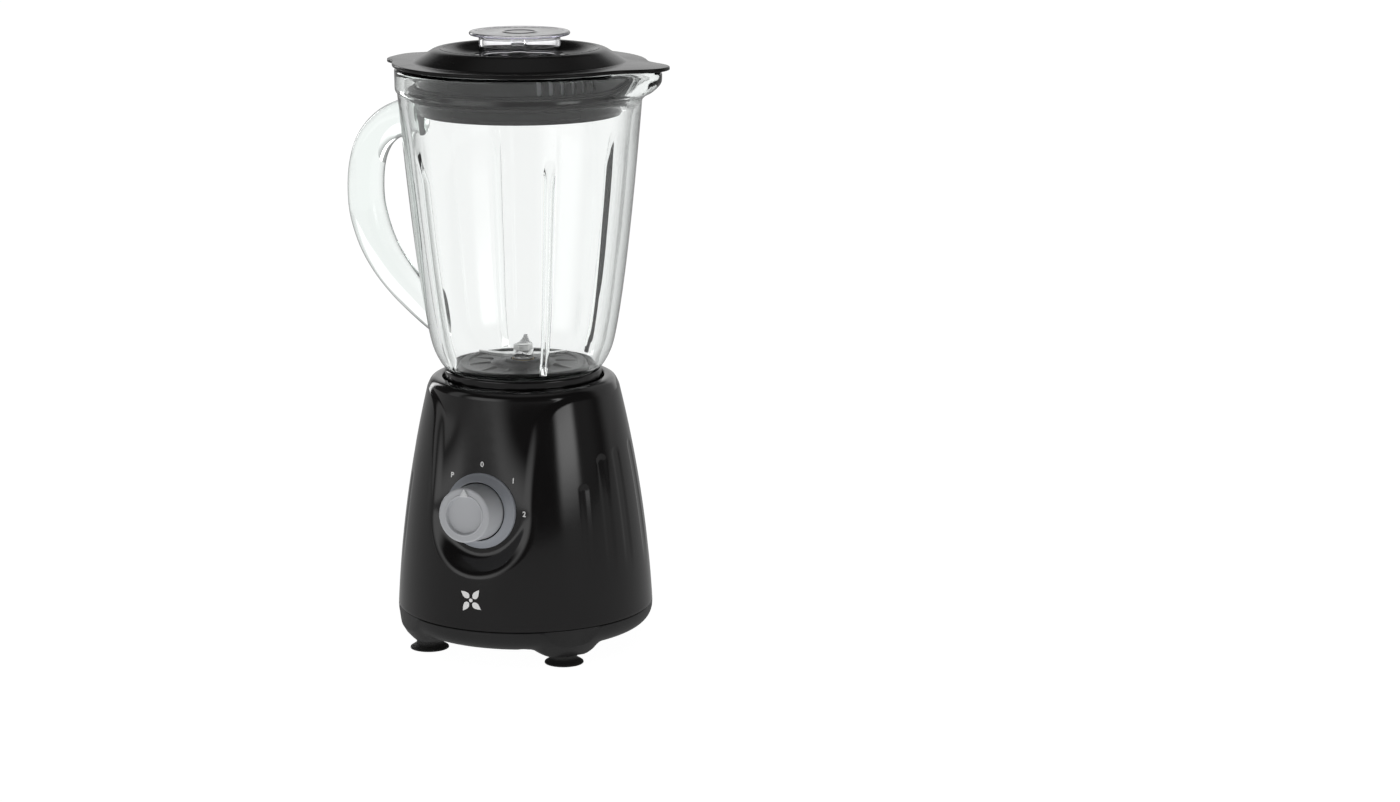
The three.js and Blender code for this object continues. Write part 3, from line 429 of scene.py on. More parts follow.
def clear(name, ior, gloss, ripple, ripple_size, tint, density):
    """A refracting skin with ripples, its colour darkened where it is seen edge on as painted shade for
    the dark edges of a studio's flags, over a volume that absorbs all but its tint."""
    f = Finish(name)
    waves = f.noise(1 / ripple_size, 1.0, (1, 1, 0.35))
    # Painted shade: where the skin is seen edge on, its colour falls to a dark tint, standing for the dark edges
    # that black flags give.
    facing = f.node("ShaderNodeLayerWeight", None, {"Blend": 0.5}, output=1)
    edge_shade_mask = f.ramp(facing, 0.42, 0.96)
    deep = colour(*[EDGE_SHADE_SHARE * part for part in tint])
    return f.surface(
        base_color=f.blend(edge_shade_mask, colour(1, 1, 1), deep), roughness=gloss, ior=ior,
        transmission_weight=1.0, normal=f.relief(waves, ripple),
        absorb={"Color": colour(*tint), "Density": density},
    )


GLASS = clear("pressed_glass", 1.5, 0.0, 0.0002, 0.03, (0.72, 0.9, 0.82), 11.0)
CLEAR = clear("clear_plastic", 1.49, 0.03, 0.0001, 0.02, (0.78, 0.76, 0.93), 22.0)
print(len(bpy.data.materials), "finishes in all")

# %% [markdown]
# ## Finishes for the solids inside
# The motor, switch and bearings are hidden in normal use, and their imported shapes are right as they
# are. Each keeps its CAD mesh, and its slot in the record says which finish it gets.

# %% Finish by slot
BY_SLOT = {
    "gloss_black": GLOSS, "satin_black": SATIN, "black_rubber": RUBBER, "light_grey": KNOB_GREY,
    "blue_grey": RING_GREY, "clear_glass": GLASS, "clear_plastic": CLEAR, "steel": STEEL,
    "lamination": CORE_STEEL, "copper": COPPER, "bronze": BRONZE, "white_nylon": NYLON,
    "carbon": CARBON, "red_plastic": RED_COAT,
}
SLOT_OF = {part["node"]: part["material_slot"] for part in frame["record"]["subparts"]}
for node_name, solid in frame["nodes"].items():
    solid.data.materials.clear()
    finish = SILICONE if node_name == "jar_gasket" else BY_SLOT[SLOT_OF[node_name]]
    solid.data.materials.append(finish)
print(len(SLOT_OF), "CAD solids have a procedural finish")

# %% [markdown]
# ## Floor, light and camera
# A product studio is a white sweep under big soft boxes. Black plastic shows hardly any colour of its
# own, so what it mirrors draws its shape: a low box at the right makes the broad highlight on the
# cheek, a narrow one behind on the left the thin bright line, and dark gaps between them keep it black.
# Drawing the boxes into the world by direction keeps them soft and out of sight from every side. Black
# flags give a studio's glass and gloss clear edges, and the ray's kind stands for them here: what is
# seen directly or through glass is white, and what is mirrored is darker.

# %% Studio
floor_mesh = bpy.data.meshes.new("studio_floor")
REACH = 40.0
floor_mesh.from_pydata(
    [(-REACH, -REACH, 0), (REACH, -REACH, 0), (REACH, REACH, 0), (-REACH, REACH, 0)], [], [(0, 1, 2, 3)]
)
studio_floor = bpy.data.objects.new("studio_floor", floor_mesh)
bpy.context.scene.collection.objects.link(studio_floor)
# The floor's own light where it is seen, what a flag takes from its mirror image, and what glass takes.
SEEN, FLAGGED, THROUGH_LOSS = 0.98, 0.66, 0.05
# The sky's grey; the top light and the heights, in degrees, where it starts and is full; and what is
# added to what shows through glass.
SKY_GREY, TOP_LIGHT, TOP_FROM, TOP_FULL, THROUGH_GAIN = 0.04, 0.4, 44.0, 74.0, 0.42
paper = Finish("white_sweep")
fibres = paper.ramp(paper.noise(3.0, 3.0), 0.3, 0.7, 0.18, 0.2)
paper_tint = paper.node("ShaderNodeCombineColor", None, {"Red": fibres, "Green": fibres, "Blue": fibres})
RAY_KINDS = [f"Is {kind} Ray" for kind in ("Glossy", "Reflection", "Transmission")]
glossy, bounced, refracted = [paper.node("ShaderNodeLightPath", output=kind) for kind in RAY_KINDS]
floor_mesh.materials.append(
    paper.surface(
        base_color=paper_tint, roughness=0.9, specular_ior_level=0.0, emission_color=colour(1, 1, 1),
        emission_strength=SEEN - glossy * bounced * FLAGGED - refracted * THROUGH_LOSS,
    )
)

# The boxes: middle and half width of each in degrees round from the front, its lowest and highest
# edge above the horizon, the softness of both, and its strength.
BOXES = [
    (71, 11, 8, 14, 8, 9, 3.0),
    (90, 18, 4, 13, 22, 8, 0.15),
    (-24, 22, -10, 22, 26, 16, 1.5),
    (-68, 10, -10, 40, 10, 14, 0.7),
    (-122, 5, -10, 26, 3, 12, 4.0),
    (-164, 26, 2, 26, 20, 8, 0.8),
    (150, 26, -10, 50, 18, 16, 0.4),
]
world = bpy.data.worlds.new("studio")
bpy.context.scene.world = world
sky = Finish("studio", world)
axes = []
for k in range(3):
    toward = sky.node("ShaderNodeTexCoord", output="Generated")
    axes.append(sky.node("ShaderNodeSeparateXYZ", None, {0: toward}, output=k))
turned_by = axes[0].math("ARCTAN2", axes[0], axes[1] * -1.0) * (180 / math.pi)
raised_by = axes[2].math("ARCSINE", axes[2]) * (180 / math.pi)
light = SKY_GREY + sky.ramp(raised_by, TOP_FROM, TOP_FULL, 0.0, TOP_LIGHT)
for middle, half, low, high, soft, soft_edge, strength in BOXES:
    apart = turned_by.math("ABSOLUTE", turned_by.math("WRAP", turned_by - float(middle), 180.0, -180.0))
    across = sky.ramp(apart, half - soft / 2, half + soft / 2, 1.0, 0.0)
    rising = sky.ramp(raised_by, low - soft_edge, low)
    ending = sky.ramp(raised_by, high - soft_edge / 2, high + soft_edge / 2, 1.0, 0.0)
    light = light + across * rising * ending * strength
looked_at = sky.node("ShaderNodeLightPath", output="Is Camera Ray")
through_glass = sky.node("ShaderNodeLightPath", output="Is Transmission Ray")
light = light * (1.0 - looked_at) + looked_at + through_glass * THROUGH_GAIN
background = sky.node("ShaderNodeBackground", None, {"Color": colour(1, 1, 1), "Strength": light})
sky.node("ShaderNodeOutputWorld", None, {"Surface": background})
print(len(BOXES), "soft boxes and a top light")

# %% [markdown]
# The camera stands to the right of the front, above the lid, and looks down a little. A long lens keeps
# the base and the lid nearly as wide as they are. It is aimed by a direction, not by a target object.

# %% Camera
LENS, DISTANCE, HEIGHT = 87.26, 2.058, 0.5979
ROUND, DOWN, ASIDE = [math.radians(angle) for angle in (24.07, 12.278, 3.044)]
camera = bpy.data.objects.new("camera", bpy.data.cameras.new("camera"))
bpy.context.scene.collection.objects.link(camera)
bpy.context.scene.camera = camera
camera.data.lens, camera.data.sensor_width = LENS, 36.0
camera.location = Vector(AXIS) + Vector((DISTANCE * math.sin(ROUND), -DISTANCE * math.cos(ROUND), HEIGHT))
across, ahead = math.sin(ASIDE) * math.cos(DOWN), math.cos(ASIDE) * math.cos(DOWN)
looking = Vector(
    (
        across * math.cos(ROUND) - ahead * math.sin(ROUND),
        across * math.sin(ROUND) + ahead * math.cos(ROUND),
        -math.sin(DOWN),
    )
)
camera.rotation_mode = "QUATERNION"
camera.rotation_quaternion = looking.to_track_quat("-Z", "Y")
bpy.context.scene.view_settings.view_transform = "Standard"
print("camera at", tuple(round(v, 3) for v in camera.location))

# %% [markdown]
# ## Motor housing
# The housing is one moulded shell. Its skin tapers upwards in a long curve, and a keyhole-shaped panel is
# let into the front: flat and tilted under the knob, and rounding off until it meets the deck. The
# cheeks either side end in a small step below the shoulder, and shallow flutes run down each flank.
# All of this is one radius as a function of angle and height: the skin's radius, less a share of the
# way down to the core behind it. The share is a soft ramp of the distance from the keyhole's outline.

# %% Shape of the housing
SHOULDER_R, SHOULDER_Z = 59.2, DECK_Z - 6.0
PANEL_HALF, CHEEK_FLARE, CHEEK_TOP = 32.9, 18.0, DECK_Z - 5.0
DECK_ROUNDING, WELL_R, WALL = 5.0, 49.9, 2.6
# Each flute: degrees round from the front, half width and top.
FLUTES = ((55.0, 3.4, 111.0), (68.0, 4.4, 127.0), (80.5, 4.4, 130.0))
FLUTE_LOW, FLUTE_DEPTH = 50.0, 0.42
PANEL_TILT = KNOB_OUT[2] / -KNOB_OUT[1]


def skin_radius(z):
    """Falls from the seam to the shoulder, slowly and then faster: 0.37 t + 0.63 t^2 of the way."""
    t = (z - SEAM_Z) / (SHOULDER_Z - SEAM_Z)
    return SEAM_R - (SEAM_R - SHOULDER_R) * (0.37 * t + 0.63 * t * t)


def core_radius(angle, z):
    """Radius of the panel. Its section is a circle of radius rho that touches the tilted line y = -reach,
    and it grows round the axis towards the shoulder: r = -c cos a + sqrt(rho^2 - c^2 sin^2 a),
    with c = rho - reach."""
    reach = -KNOB_AT[1] - (z - KNOB_AT[2]) * PANEL_TILT
    even = reach - np.sqrt(np.maximum(reach**2 - PANEL_HALF**2, 0))
    swell = 2.0 + (even - 2.0) * smooth_step(z, KNOB_AT[2], SHOULDER_Z)
    rho = (PANEL_HALF**2 + swell**2) / (2 * swell)
    c = rho - reach
    return -c * np.cos(angle) + np.sqrt(np.maximum(rho**2 - (c * np.sin(angle)) ** 2, 1.0))


def cheek_distance(angle, z):
    """Distance inside the cheek from its edge, negative on the panel: round below the knob, upright
    beside it, and flaring out into a level line under the shoulder."""
    x = np.where(np.cos(angle) > 0, skin_radius(z) * np.abs(np.sin(angle)), SEAM_R)
    level = CHEEK_TOP - CHEEK_FLARE
    beside = CHEEK_FLARE - np.hypot(np.maximum(PANEL_HALF + CHEEK_FLARE - x, 0), np.maximum(z - level, 0))
    return np.where(z < KNOB_AT[2], np.hypot(x, z - KNOB_AT[2]) - PANEL_HALF, beside)


def flute_depth(angle, z):
    """Slots with round ends: their depth is a soft ramp of the distance in from the slot's edge."""
    depth = 0.0
    for middle, half, top in FLUTES:
        for place in (middle, 180.0 - middle):
            aside = skin_radius(z) * np.radians(np.abs(np.degrees(np.abs(angle)) - place))
            beyond = np.maximum(np.maximum(z - (top - half), FLUTE_LOW + half - z), 0)
            depth = depth + soft_clamp((half - np.hypot(aside, beyond)) / 2.0)
    return FLUTE_DEPTH * depth * smooth_step(z, FLUTE_LOW - 2, FLUTE_LOW + 26)


def housing_radius(angle, z):
    skin = skin_radius(z)
    bevel = 6.4 + 3.0 * smooth_step(-z, -KNOB_AT[2], -66.0) - 3.4 * smooth_step(z, 146.0, 164.0)
    share = soft_clamp(0.5 - cheek_distance(angle, z) / bevel, 0.5)
    return skin - flute_depth(angle, z) + (core_radius(angle, z) - skin) * share


front = np.radians(np.arange(-50, 50, 0.5))
flank = np.radians(np.arange(50, 130, 0.9))
rear = np.radians(np.arange(130, 230, 3.0))
angles = np.concatenate([front, flank, rear, 2 * np.pi - flank[::-1] - np.radians(0.9)])[None]
angles = (angles + np.pi) % (2 * np.pi) - np.pi

heights = [np.arange(SEAM_Z + 0.7, 60, 1.1), np.arange(60, 154, 0.85), np.arange(154, 163, 0.5)]
heights = np.concatenate(heights)
bend = np.linspace(0, np.pi / 2, 13)[:, None]
bend_z = DECK_Z - DECK_ROUNDING + DECK_ROUNDING * np.sin(bend)
skin_rows = turn(housing_radius(angles, heights[:, None]), angles, heights[:, None])
bend_rows = turn(housing_radius(angles, bend_z) - DECK_ROUNDING * (1 - np.cos(bend)), angles, bend_z)
lip_low = DECK_Z - WALL
lip = rounded([(WELL_R + 4, DECK_Z), (WELL_R, DECK_Z, 1.3), (WELL_R, lip_low), (WELL_R + 4, lip_low)])
lip_rows = turn(lip[1:, :1], angles, lip[1:, 1:])
inner_z = np.linspace(DECK_Z - WALL - 3, SEAM_Z, 14)[:, None]
inner_rows = turn(housing_radius(angles, inner_z) - WALL, angles, inner_z)
foot_rows = turn(skin_radius(SEAM_Z) - np.array([[0.7], [0.2]]), angles, SEAM_Z + np.array([[0.0], [0.2]]))
housing_grid = np.concatenate([foot_rows, skin_rows, bend_rows, lip_rows, inner_rows])
piece("motor_shell", housing_grid, "base", GLOSS, ["motor_housing"], edge=50)

# %% [markdown]
# ## Bottom cover
# A satin bowl closes the housing. Its section is a superellipse, rounder than a circle towards the
# corner, and four pads swell down from it to carry the feet. The pads are the lower of two surfaces
# joined softly. The screw bores and cooling slots are real holes, cut once the bowl is closed.

# %% Bowl and its holes
COVER_FLOOR, COVER_R, COVER_TOP = 10.0, 60.0, SEAM_Z - 0.35
PAD_Z, FOOT_CIRCLE, SCREW_CIRCLE, COVER_WALL = 6.0, 64.2, 69.5, 2.6


def cover_height(x, y, z):
    """The bowl's z, or the pad's where that is lower: the pad is flat within 13.5 mm of its foot's centre
    and rises outside it, and near the bowl's edge."""
    from_foot = np.hypot(np.abs(x) - FOOT_CIRCLE / np.sqrt(2), np.abs(y) - FOOT_CIRCLE / np.sqrt(2))
    pad = PAD_Z + 0.55 * np.maximum(from_foot - 13.5, 0) + 1.1 * np.maximum(np.hypot(x, y) - 73.5, 0)
    lower = np.minimum(z, pad)
    return z + (lower - z) * smooth_step(-from_foot, -24.0, -17.0)


corner = np.linspace(0, np.pi / 2, 26)[1:, None]
corner_r = COVER_R + (SEAM_R - COVER_R) * np.sin(corner) ** 0.77
corner_z = COVER_TOP - (COVER_TOP - COVER_FLOOR) * np.cos(corner) ** 0.77
bowl_r = np.concatenate([np.linspace(0, COVER_R, 24)[:, None], corner_r])
bowl_z = np.concatenate([np.full((24, 1), COVER_FLOOR), corner_z])
bowl_z = np.minimum(bowl_z, COVER_TOP - 0.4)
bowl = turn(bowl_r, circle(192)[None], bowl_z)
bowl[..., 2] = cover_height(bowl[..., 0], bowl[..., 1], bowl[..., 2])
inside = lathe(
    [
        (SEAM_R - 0.5, COVER_TOP), (SEAM_R - 3.2, COVER_TOP), (SEAM_R - 3.5, COVER_TOP + 3),
        (SEAM_R - 5.2, COVER_TOP + 3), (SEAM_R - 5.2, COVER_FLOOR + 7, 4),
        (COVER_R, COVER_FLOOR + COVER_WALL), (0, COVER_FLOOR + COVER_WALL),
    ],
    192,
)
cover = piece("cover_bowl", np.concatenate([bowl, inside]), "base", SATIN, ["bottom_cover"])


def rod_tool(radius, low, high, x, y, columns=32):
    """A plain rod, used only to cut with."""
    rod = lathe([(0, low), (radius, low), (radius, high), (0, high)], columns)
    return piece("tool", shifted(rod, x, y), None, SATIN)


def slot_tool(inner, outer, half, low, high, angle):
    """A radial slot with round ends: a ring of points round a stadium outline, at two heights."""
    t = circle(24)
    along = np.where(np.cos(t) > 0, outer - half, inner + half) + half * np.cos(t)
    rows = [beside(along, half * np.sin(t), angle, z) for z in (low, high)]
    return piece("tool", closed_ends(np.stack(rows)), None, SATIN)


screw_at = [turn(SCREW_CIRCLE, math.radians(22.5 + 90 * k), 0.0) for k in range(4)]
holes = [rod_tool(3.6, -1, 16.4, *place[:2]) for place in screw_at]
vents = [slot_tool(18 + 10 * ring, 25 + 10 * ring, 1.5, 5, 16, math.radians(12.0 * k))
         for ring in range(2) for k in range(30)]
combine(cover, holes + vents)

# %% [markdown]
# ## Feet and mains grommet
# Each foot is a rubber suction cup on a short neck, pushed into a pad. The cup's thin rim is what
# touches the table, so the profile is hollow underneath. The grommet at the back is a flanged sleeve.

# %% Rubber parts
FOOT = [
    (0, 1.5), (6.5, 1.3, 1.5), (10.4, 0.05, 0.4), (12, 0, 0.15), (11.9, 0.7, 0.3), (9.6, 2.1, 1.2),
    (8.3, 3.1, 0.6), (7.9, 4.2, 0.5), (8.2, 5.65, 0.3), (4, 5.65), (4, 13.8, 0.5), (0, 13.8),
]
CORNERS = {"front_right": 45, "back_right": 135, "back_left": 225, "front_left": 315}
for place, degrees in CORNERS.items():
    x, y = turn(FOOT_CIRCLE, math.radians(degrees), 0.0)[:2]
    cup = shifted(lathe(FOOT, 72), x, y)
    piece(f"suction_foot_{place}", cup, "base", RUBBER, [f"foot_{place}"])

gland_low, gland_high = span("cord_gland")
long = gland_high[1] - gland_low[1]
sleeve = lathe(
    [(3.2, 0), (6, 0, 0.5), (6, long - 3.2), (7.3, long - 3.2, 0.6), (7.3, long, 1.2), (4.4, long, 0.8),
     (3.2, long - 1.4, 0.5)], 64,
)
gland_z = (gland_low[2] + gland_high[2]) / 2
sleeve = np.stack([sleeve[..., 0], gland_low[1] + sleeve[..., 2], gland_z - sleeve[..., 1]], -1)
piece("mains_grommet", sleeve, "base", RUBBER, ["cord_gland"])

# %% [markdown]
# ## Dial ring, knob and marks
# The knob and its ring are drawn flat, as lathe profiles with z pointing out, and then carried on to the
# tilted panel. The knob is a slightly tapered cap with a sunk disc in its face and a small wedge that
# points at the setting. The marks are type: Blender's own font, made into thin faces that are laid on
# the panel point by point, so that they follow its curve as pad printing does.

# %% Knob and ring
KNOB_R, KNOB_LONG, RING_R, RING_RISE = 17.0, 24.6, 23.0, 5.1
ring_profile = [
    (KNOB_R + 0.8, -3), (RING_R, -3), (RING_R, 0.7, 0.35), (RING_R - 1.0, 1.5, 0.5), (KNOB_R + 2.1, 4.6, 0.8),
    (KNOB_R + 1.3, RING_RISE, 0.35), (KNOB_R + 0.8, RING_RISE, 0.3),
]
piece("dial_ring", on_dial(lathe(ring_profile, 160)), "base", RING_GREY, ["dial_bezel"])

knob_profile = [
    (0, KNOB_LONG - 1.9), (10.9, KNOB_LONG - 2.1, 0.3), (11.5, KNOB_LONG - 0.5, 0.2),
    (11.9, KNOB_LONG - 0.1, 0.2), (12.4, KNOB_LONG - 0.1, 0.2), (12.6, KNOB_LONG - 0.4, 0.2),
    (KNOB_R - 1.4, KNOB_LONG - 0.3, 0.3), (KNOB_R - 0.5, KNOB_LONG - 0.8, 0.3), (KNOB_R, 3.3, 0.3),
    (KNOB_R - 2, 3.3, 0.3), (KNOB_R - 2.6, KNOB_LONG - 4, 1), (6, KNOB_LONG - 4, 1), (6, 6, 0.4),
    (3.35, 6), (3.35, KNOB_LONG - 6.6), (0, KNOB_LONG - 6.6),
]
knob = on_dial(lathe(knob_profile, 160))


def wedge():
    """A raised triangle with round corners: shrinking copies of one outline, stacked."""
    corners = np.array([(-3.1, 11.2), (3.1, 11.2), (0.0, 16.6)])
    outline = rounded([(*point, 0.9) for point in corners], 6)[::-1]
    outline = through(np.vstack([outline, outline[:1]]), 2)[:-1]
    middle = outline.mean(0)
    share = np.array([0.0, 1.0, 1.0, 0.9, 0.72, 0.0])[:, None, None]
    rise = KNOB_LONG + np.array([-1.2, -1.2, 0.45, 0.85, 0.95, 0.95])[:, None]
    flat = middle + (outline[None] - middle) * share
    return np.concatenate([flat, np.broadcast_to(rise[..., None], (*flat.shape[:2], 1))], -1)


piece("knob_cap", knob, "knob", KNOB_GREY, ["speed_knob"])
piece("knob_pointer", on_dial(wedge()), "knob", POINTER_GREY)


# %% Printed marks
def laid(name, outline_mesh, finish, lift=0.06, on_panel=True):
    """Lays a flat mesh, drawn in mm about the knob, on the panel or the skin: every point keeps its x and
    its height and takes its depth from the surface there."""
    flat = np.zeros(len(outline_mesh.vertices) * 3)
    outline_mesh.vertices.foreach_get("co", flat)
    x, up, out = flat.reshape(-1, 3).T
    z = KNOB_AT[2] + up
    angle = np.arctan2(x, np.abs(KNOB_AT[1]))
    for _ in range(4):
        radius = housing_radius(angle, z)
        angle = np.arcsin(np.clip(x / radius, -1, 1))
    points = turn(housing_radius(angle, z) + lift + out, angle, z)
    outline_mesh.vertices.foreach_set("co", (points * MM + AXIS).ravel())
    outline_mesh.materials.clear()
    outline_mesh.materials.append(finish)
    made = bpy.data.objects.new(name, outline_mesh)
    bpy.context.scene.collection.objects.link(made)
    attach(made, "base")
    PIECES[name] = made
    return made


def typed(text, height, x, up):
    """Font outline as a mesh in mm, centred on (x, up), with its face and a little thickness."""
    curve = bpy.data.curves.new("type", "FONT")
    curve.body, curve.size, curve.offset, curve.extrude = text, height * 1.42, 0.11, 0.05
    curve.resolution_u = 6
    curve.align_x, curve.align_y = "CENTER", "CENTER"
    shape = bpy.data.objects.new("type", curve)
    mesh = bpy.data.meshes.new_from_object(shape)
    bpy.data.objects.remove(shape)
    flat = np.zeros(len(mesh.vertices) * 3)
    mesh.vertices.foreach_get("co", flat)
    flat = flat.reshape(-1, 3)
    flat[:, :2] += np.array([x, up]) - (flat[:, :2].max(0) + flat[:, :2].min(0)) / 2
    mesh.vertices.foreach_set("co", flat.ravel())
    return mesh


MARK_R = 28.2
MARKS = {"pulse": ("P", -45), "zero": ("0", 0), "one": ("1", 46), "two": ("2", 90)}
for mark, (text, degrees) in MARKS.items():
    turned_to = math.radians(degrees)
    mesh = typed(text, 3.1, MARK_R * math.sin(turned_to), MARK_R * math.cos(turned_to))
    laid(f"dial_mark_{mark}", mesh, PRINT)

# %% [markdown]
# A small white pictogram sits low on the front: four rounded blades about a hub. Each blade is one grid
# whose width swells and closes as a sine along its length, and the grids are laid on the skin.


# %% Pictogram
def leaf(angle, length=6.6, width=1.9):
    """A blade outline: half width = width sin(pi s ^ 0.7), along a line that bends as it runs out."""
    s, side = np.meshgrid(np.linspace(0, 1, 24), np.array([-1.0, 0.0, 1.0]), indexing="ij")
    out = 1.9 + length * s
    aside = side * width * np.sin(np.pi * s**0.7) + 1.1 * s**2
    x = out * np.cos(angle) - aside * np.sin(angle)
    y = out * np.sin(angle) + aside * np.cos(angle)
    return np.stack([x, y], -1)


def flat_mesh(name, grids, x, up):
    """Open grids, side by side, as one flat mesh facing out."""
    points, faces, start = [], [], 0
    for grid in grids:
        rows, columns = grid.shape[:2]
        points.append(grid.reshape(-1, 2))
        index = np.arange(rows * columns).reshape(rows, columns) + start
        ends = [index[:-1, :-1], index[1:, :-1], index[1:, 1:], index[:-1, 1:]]
        faces.append(np.stack(ends, -1).reshape(-1, 4))
        start += rows * columns
    flat = np.vstack(points) + np.array([x, up])
    mesh = bpy.data.meshes.new(name)
    mesh.from_pydata(np.column_stack([flat, np.zeros(len(flat))]), [], np.vstack(faces))
    clean(mesh)
    return mesh


t = np.linspace(0, 2 * np.pi, 33)
hub = np.stack([np.outer([0.0, 1.15], np.cos(t)), np.outer([0.0, 1.15], np.sin(t))], -1)
leaves = [leaf(math.radians(45 + 90 * k)) for k in range(4)]
badge_mesh = flat_mesh("blade_badge", [hub, *leaves], -1.6, 42.8 - KNOB_AT[2])
badge = laid("blade_badge", badge_mesh, PRINT)
solidify = badge.modifiers.new("thickness", "SOLIDIFY")
solidify.thickness, solidify.offset = 0.0001, 0.0
print("badge", [round(v / MM) for v in badge.dimensions])

# %% [markdown]
# ## The well and the drive
# Under the jar is a well with the motor's drive cup in its middle. Both show only when the jar is lifted
# off, but then they are the first thing seen. The cup's pocket is a six-lobed star, so its radius
# swings with the angle; the blade unit's star is the same curve, a little smaller.

# %% Seat and couplings
seat_low, seat_high = span("jar_seat")
SEAT_R, WELL_FLOOR = seat_high[0], DECK_Z - 17.0
DRIVE_R, STAR_R, STAR_SWELL, LOBES = 17.0, 10.8, 2.2, 6
seat = lathe(
    [
        (19, seat_low[2]), (SEAT_R, seat_low[2]), (SEAT_R, seat_high[2]), (WELL_R, seat_high[2], 0.3),
        (WELL_R, WELL_FLOOR, 1.6), (44, WELL_FLOOR, 0.6), (43.2, WELL_FLOOR + 0.9, 0.4),
        (41.8, WELL_FLOOR + 0.9, 0.4), (41, WELL_FLOOR, 0.6), (25, WELL_FLOOR, 0.8),
        (24, WELL_FLOOR + 1.6, 0.6), (20, WELL_FLOOR + 1.6, 0.6), (19, WELL_FLOOR + 0.8, 0.4),
    ],
    144,
)
piece("well_liner", seat, "base", SATIN, ["jar_seat"])


def star_grid(outline, swell, columns=144):
    """A lathe whose radius swings with the angle: r + w s cos(6a), with w 1 where the outline's radius is
    near that of the star, and 0 at its middle and outside."""
    profile = rounded(outline, 3)
    angle = circle(columns)[None]
    weight = np.where((profile[:, :1] > 7.5) & (profile[:, :1] < 14), 1.0, 0.0)
    return turn(profile[:, :1] + weight * swell * np.cos(LOBES * angle), angle, profile[:, 1:])


cup_low, cup_high = span("drive_coupling")
POCKET_Z = 151.6  # the bottom of the cup's pocket
cup = star_grid(
    [
        (0, cup_low[2]), (DRIVE_R, cup_low[2], 0.6), (DRIVE_R, cup_high[2], 0.9),
        (STAR_R + 0.9, cup_high[2], 0.3), (STAR_R + 0.35, cup_high[2] - 0.9, 0.3),
        (STAR_R + 0.35, POCKET_Z, 0.2), (0, POCKET_Z),
    ],
    STAR_SWELL,
)
piece("drive_cup", cup, "motor_rotor", SATIN, ["drive_coupling"])
dog_low, dog_high = span("driven_coupling")
dog = star_grid(
    [(0, dog_low[2]), (STAR_R - 0.9, dog_low[2], 0.2), (STAR_R - 0.2, dog_low[2] + 0.8, 0.4),
     (STAR_R - 0.2, dog_high[2], 0.3), (0, dog_high[2])],
    STAR_SWELL - 0.4,
)
piece("drive_star", dog, "blade_rotor", SATIN, ["driven_coupling"])

# %% [markdown]
# ## Collar and blade unit
# A black collar clamps the blade unit under the glass; only its top ring shows above the deck. The jar's
# floor is the blade unit's own disc, stepped and ribbed to keep it stiff, with a bush in the middle.

# %% Collar and floor
collar_low, collar_high = span("jar_collar")
COLLAR_R, COLLAR_IN = collar_high[0], collar_high[0] - 3.0
base_low, base_high = span("blade_base")
FLOOR_Z = base_high[2] - 1.0
collar = lathe(
    [
        (30, base_low[2] - 2.95), (COLLAR_IN, base_low[2] - 2.95, 0.6), (COLLAR_IN, collar_low[2], 0.4),
        (COLLAR_R, collar_low[2], 0.8), (COLLAR_R, collar_high[2], 1.4), (45.5, collar_high[2], 0.2),
        (45.5, base_low[2] - 0.35), (30, base_low[2] - 0.35),
    ],
    192,
)
GRIPS = 24
ring = np.hypot(collar[..., 0], collar[..., 1])
around = np.arctan2(collar[..., 0], -collar[..., 1])
low_half = smooth_step(-collar[..., 2], -(DECK_Z - 3), -(DECK_Z - 6)) * (ring > 48)
inward = 1 - 0.7 * low_half * soft_clamp(np.cos(GRIPS * around) * 1.5) / np.maximum(ring, 1)
collar[..., :2] *= inward[..., None]
piece("jar_ring", collar, "jar", GLOSS, ["jar_collar"])

disc = lathe(
    [
        (7.75, base_low[2]), (44.75, base_low[2], 0.3), (44.75, base_low[2] + 2.1, 0.2),
        (40.3, base_low[2] + 2.1), (40.3, FLOOR_Z - 1.6, 0.5), (38.4, FLOOR_Z, 0.7), (34, FLOOR_Z, 0.4),
        (33.2, FLOOR_Z - 0.9, 0.4),
        (20, FLOOR_Z - 0.9, 0.8), (17, FLOOR_Z, 1.0), (12.5, FLOOR_Z + 0.2, 0.8), (10.6, base_high[2], 0.8),
        (7.75, base_high[2], 0.2),
    ],
    192, 4,
)
ring = np.hypot(disc[..., 0], disc[..., 1])
around = np.arctan2(disc[..., 0], -disc[..., 1])
between = smooth_step(ring, 19.5, 21) * smooth_step(-ring, -33.0, -32.0) * (disc[..., 2] > FLOOR_Z - 2)
disc[..., 2] += 0.8 * between * soft_clamp((np.cos(12 * around) - 0.8) * 6)
piece("blade_floor", disc, "jar", SATIN, ["blade_base"])

# %% [markdown]
# ## Blades
# Two strips of stainless steel cross on the shaft, one nearly flat and one with its tips bent up. Each
# narrows towards its tips and is ground to an edge along both sides. A strip is one grid: eight points
# round the section, carried along the strip, with its width, height and grind as functions of place.


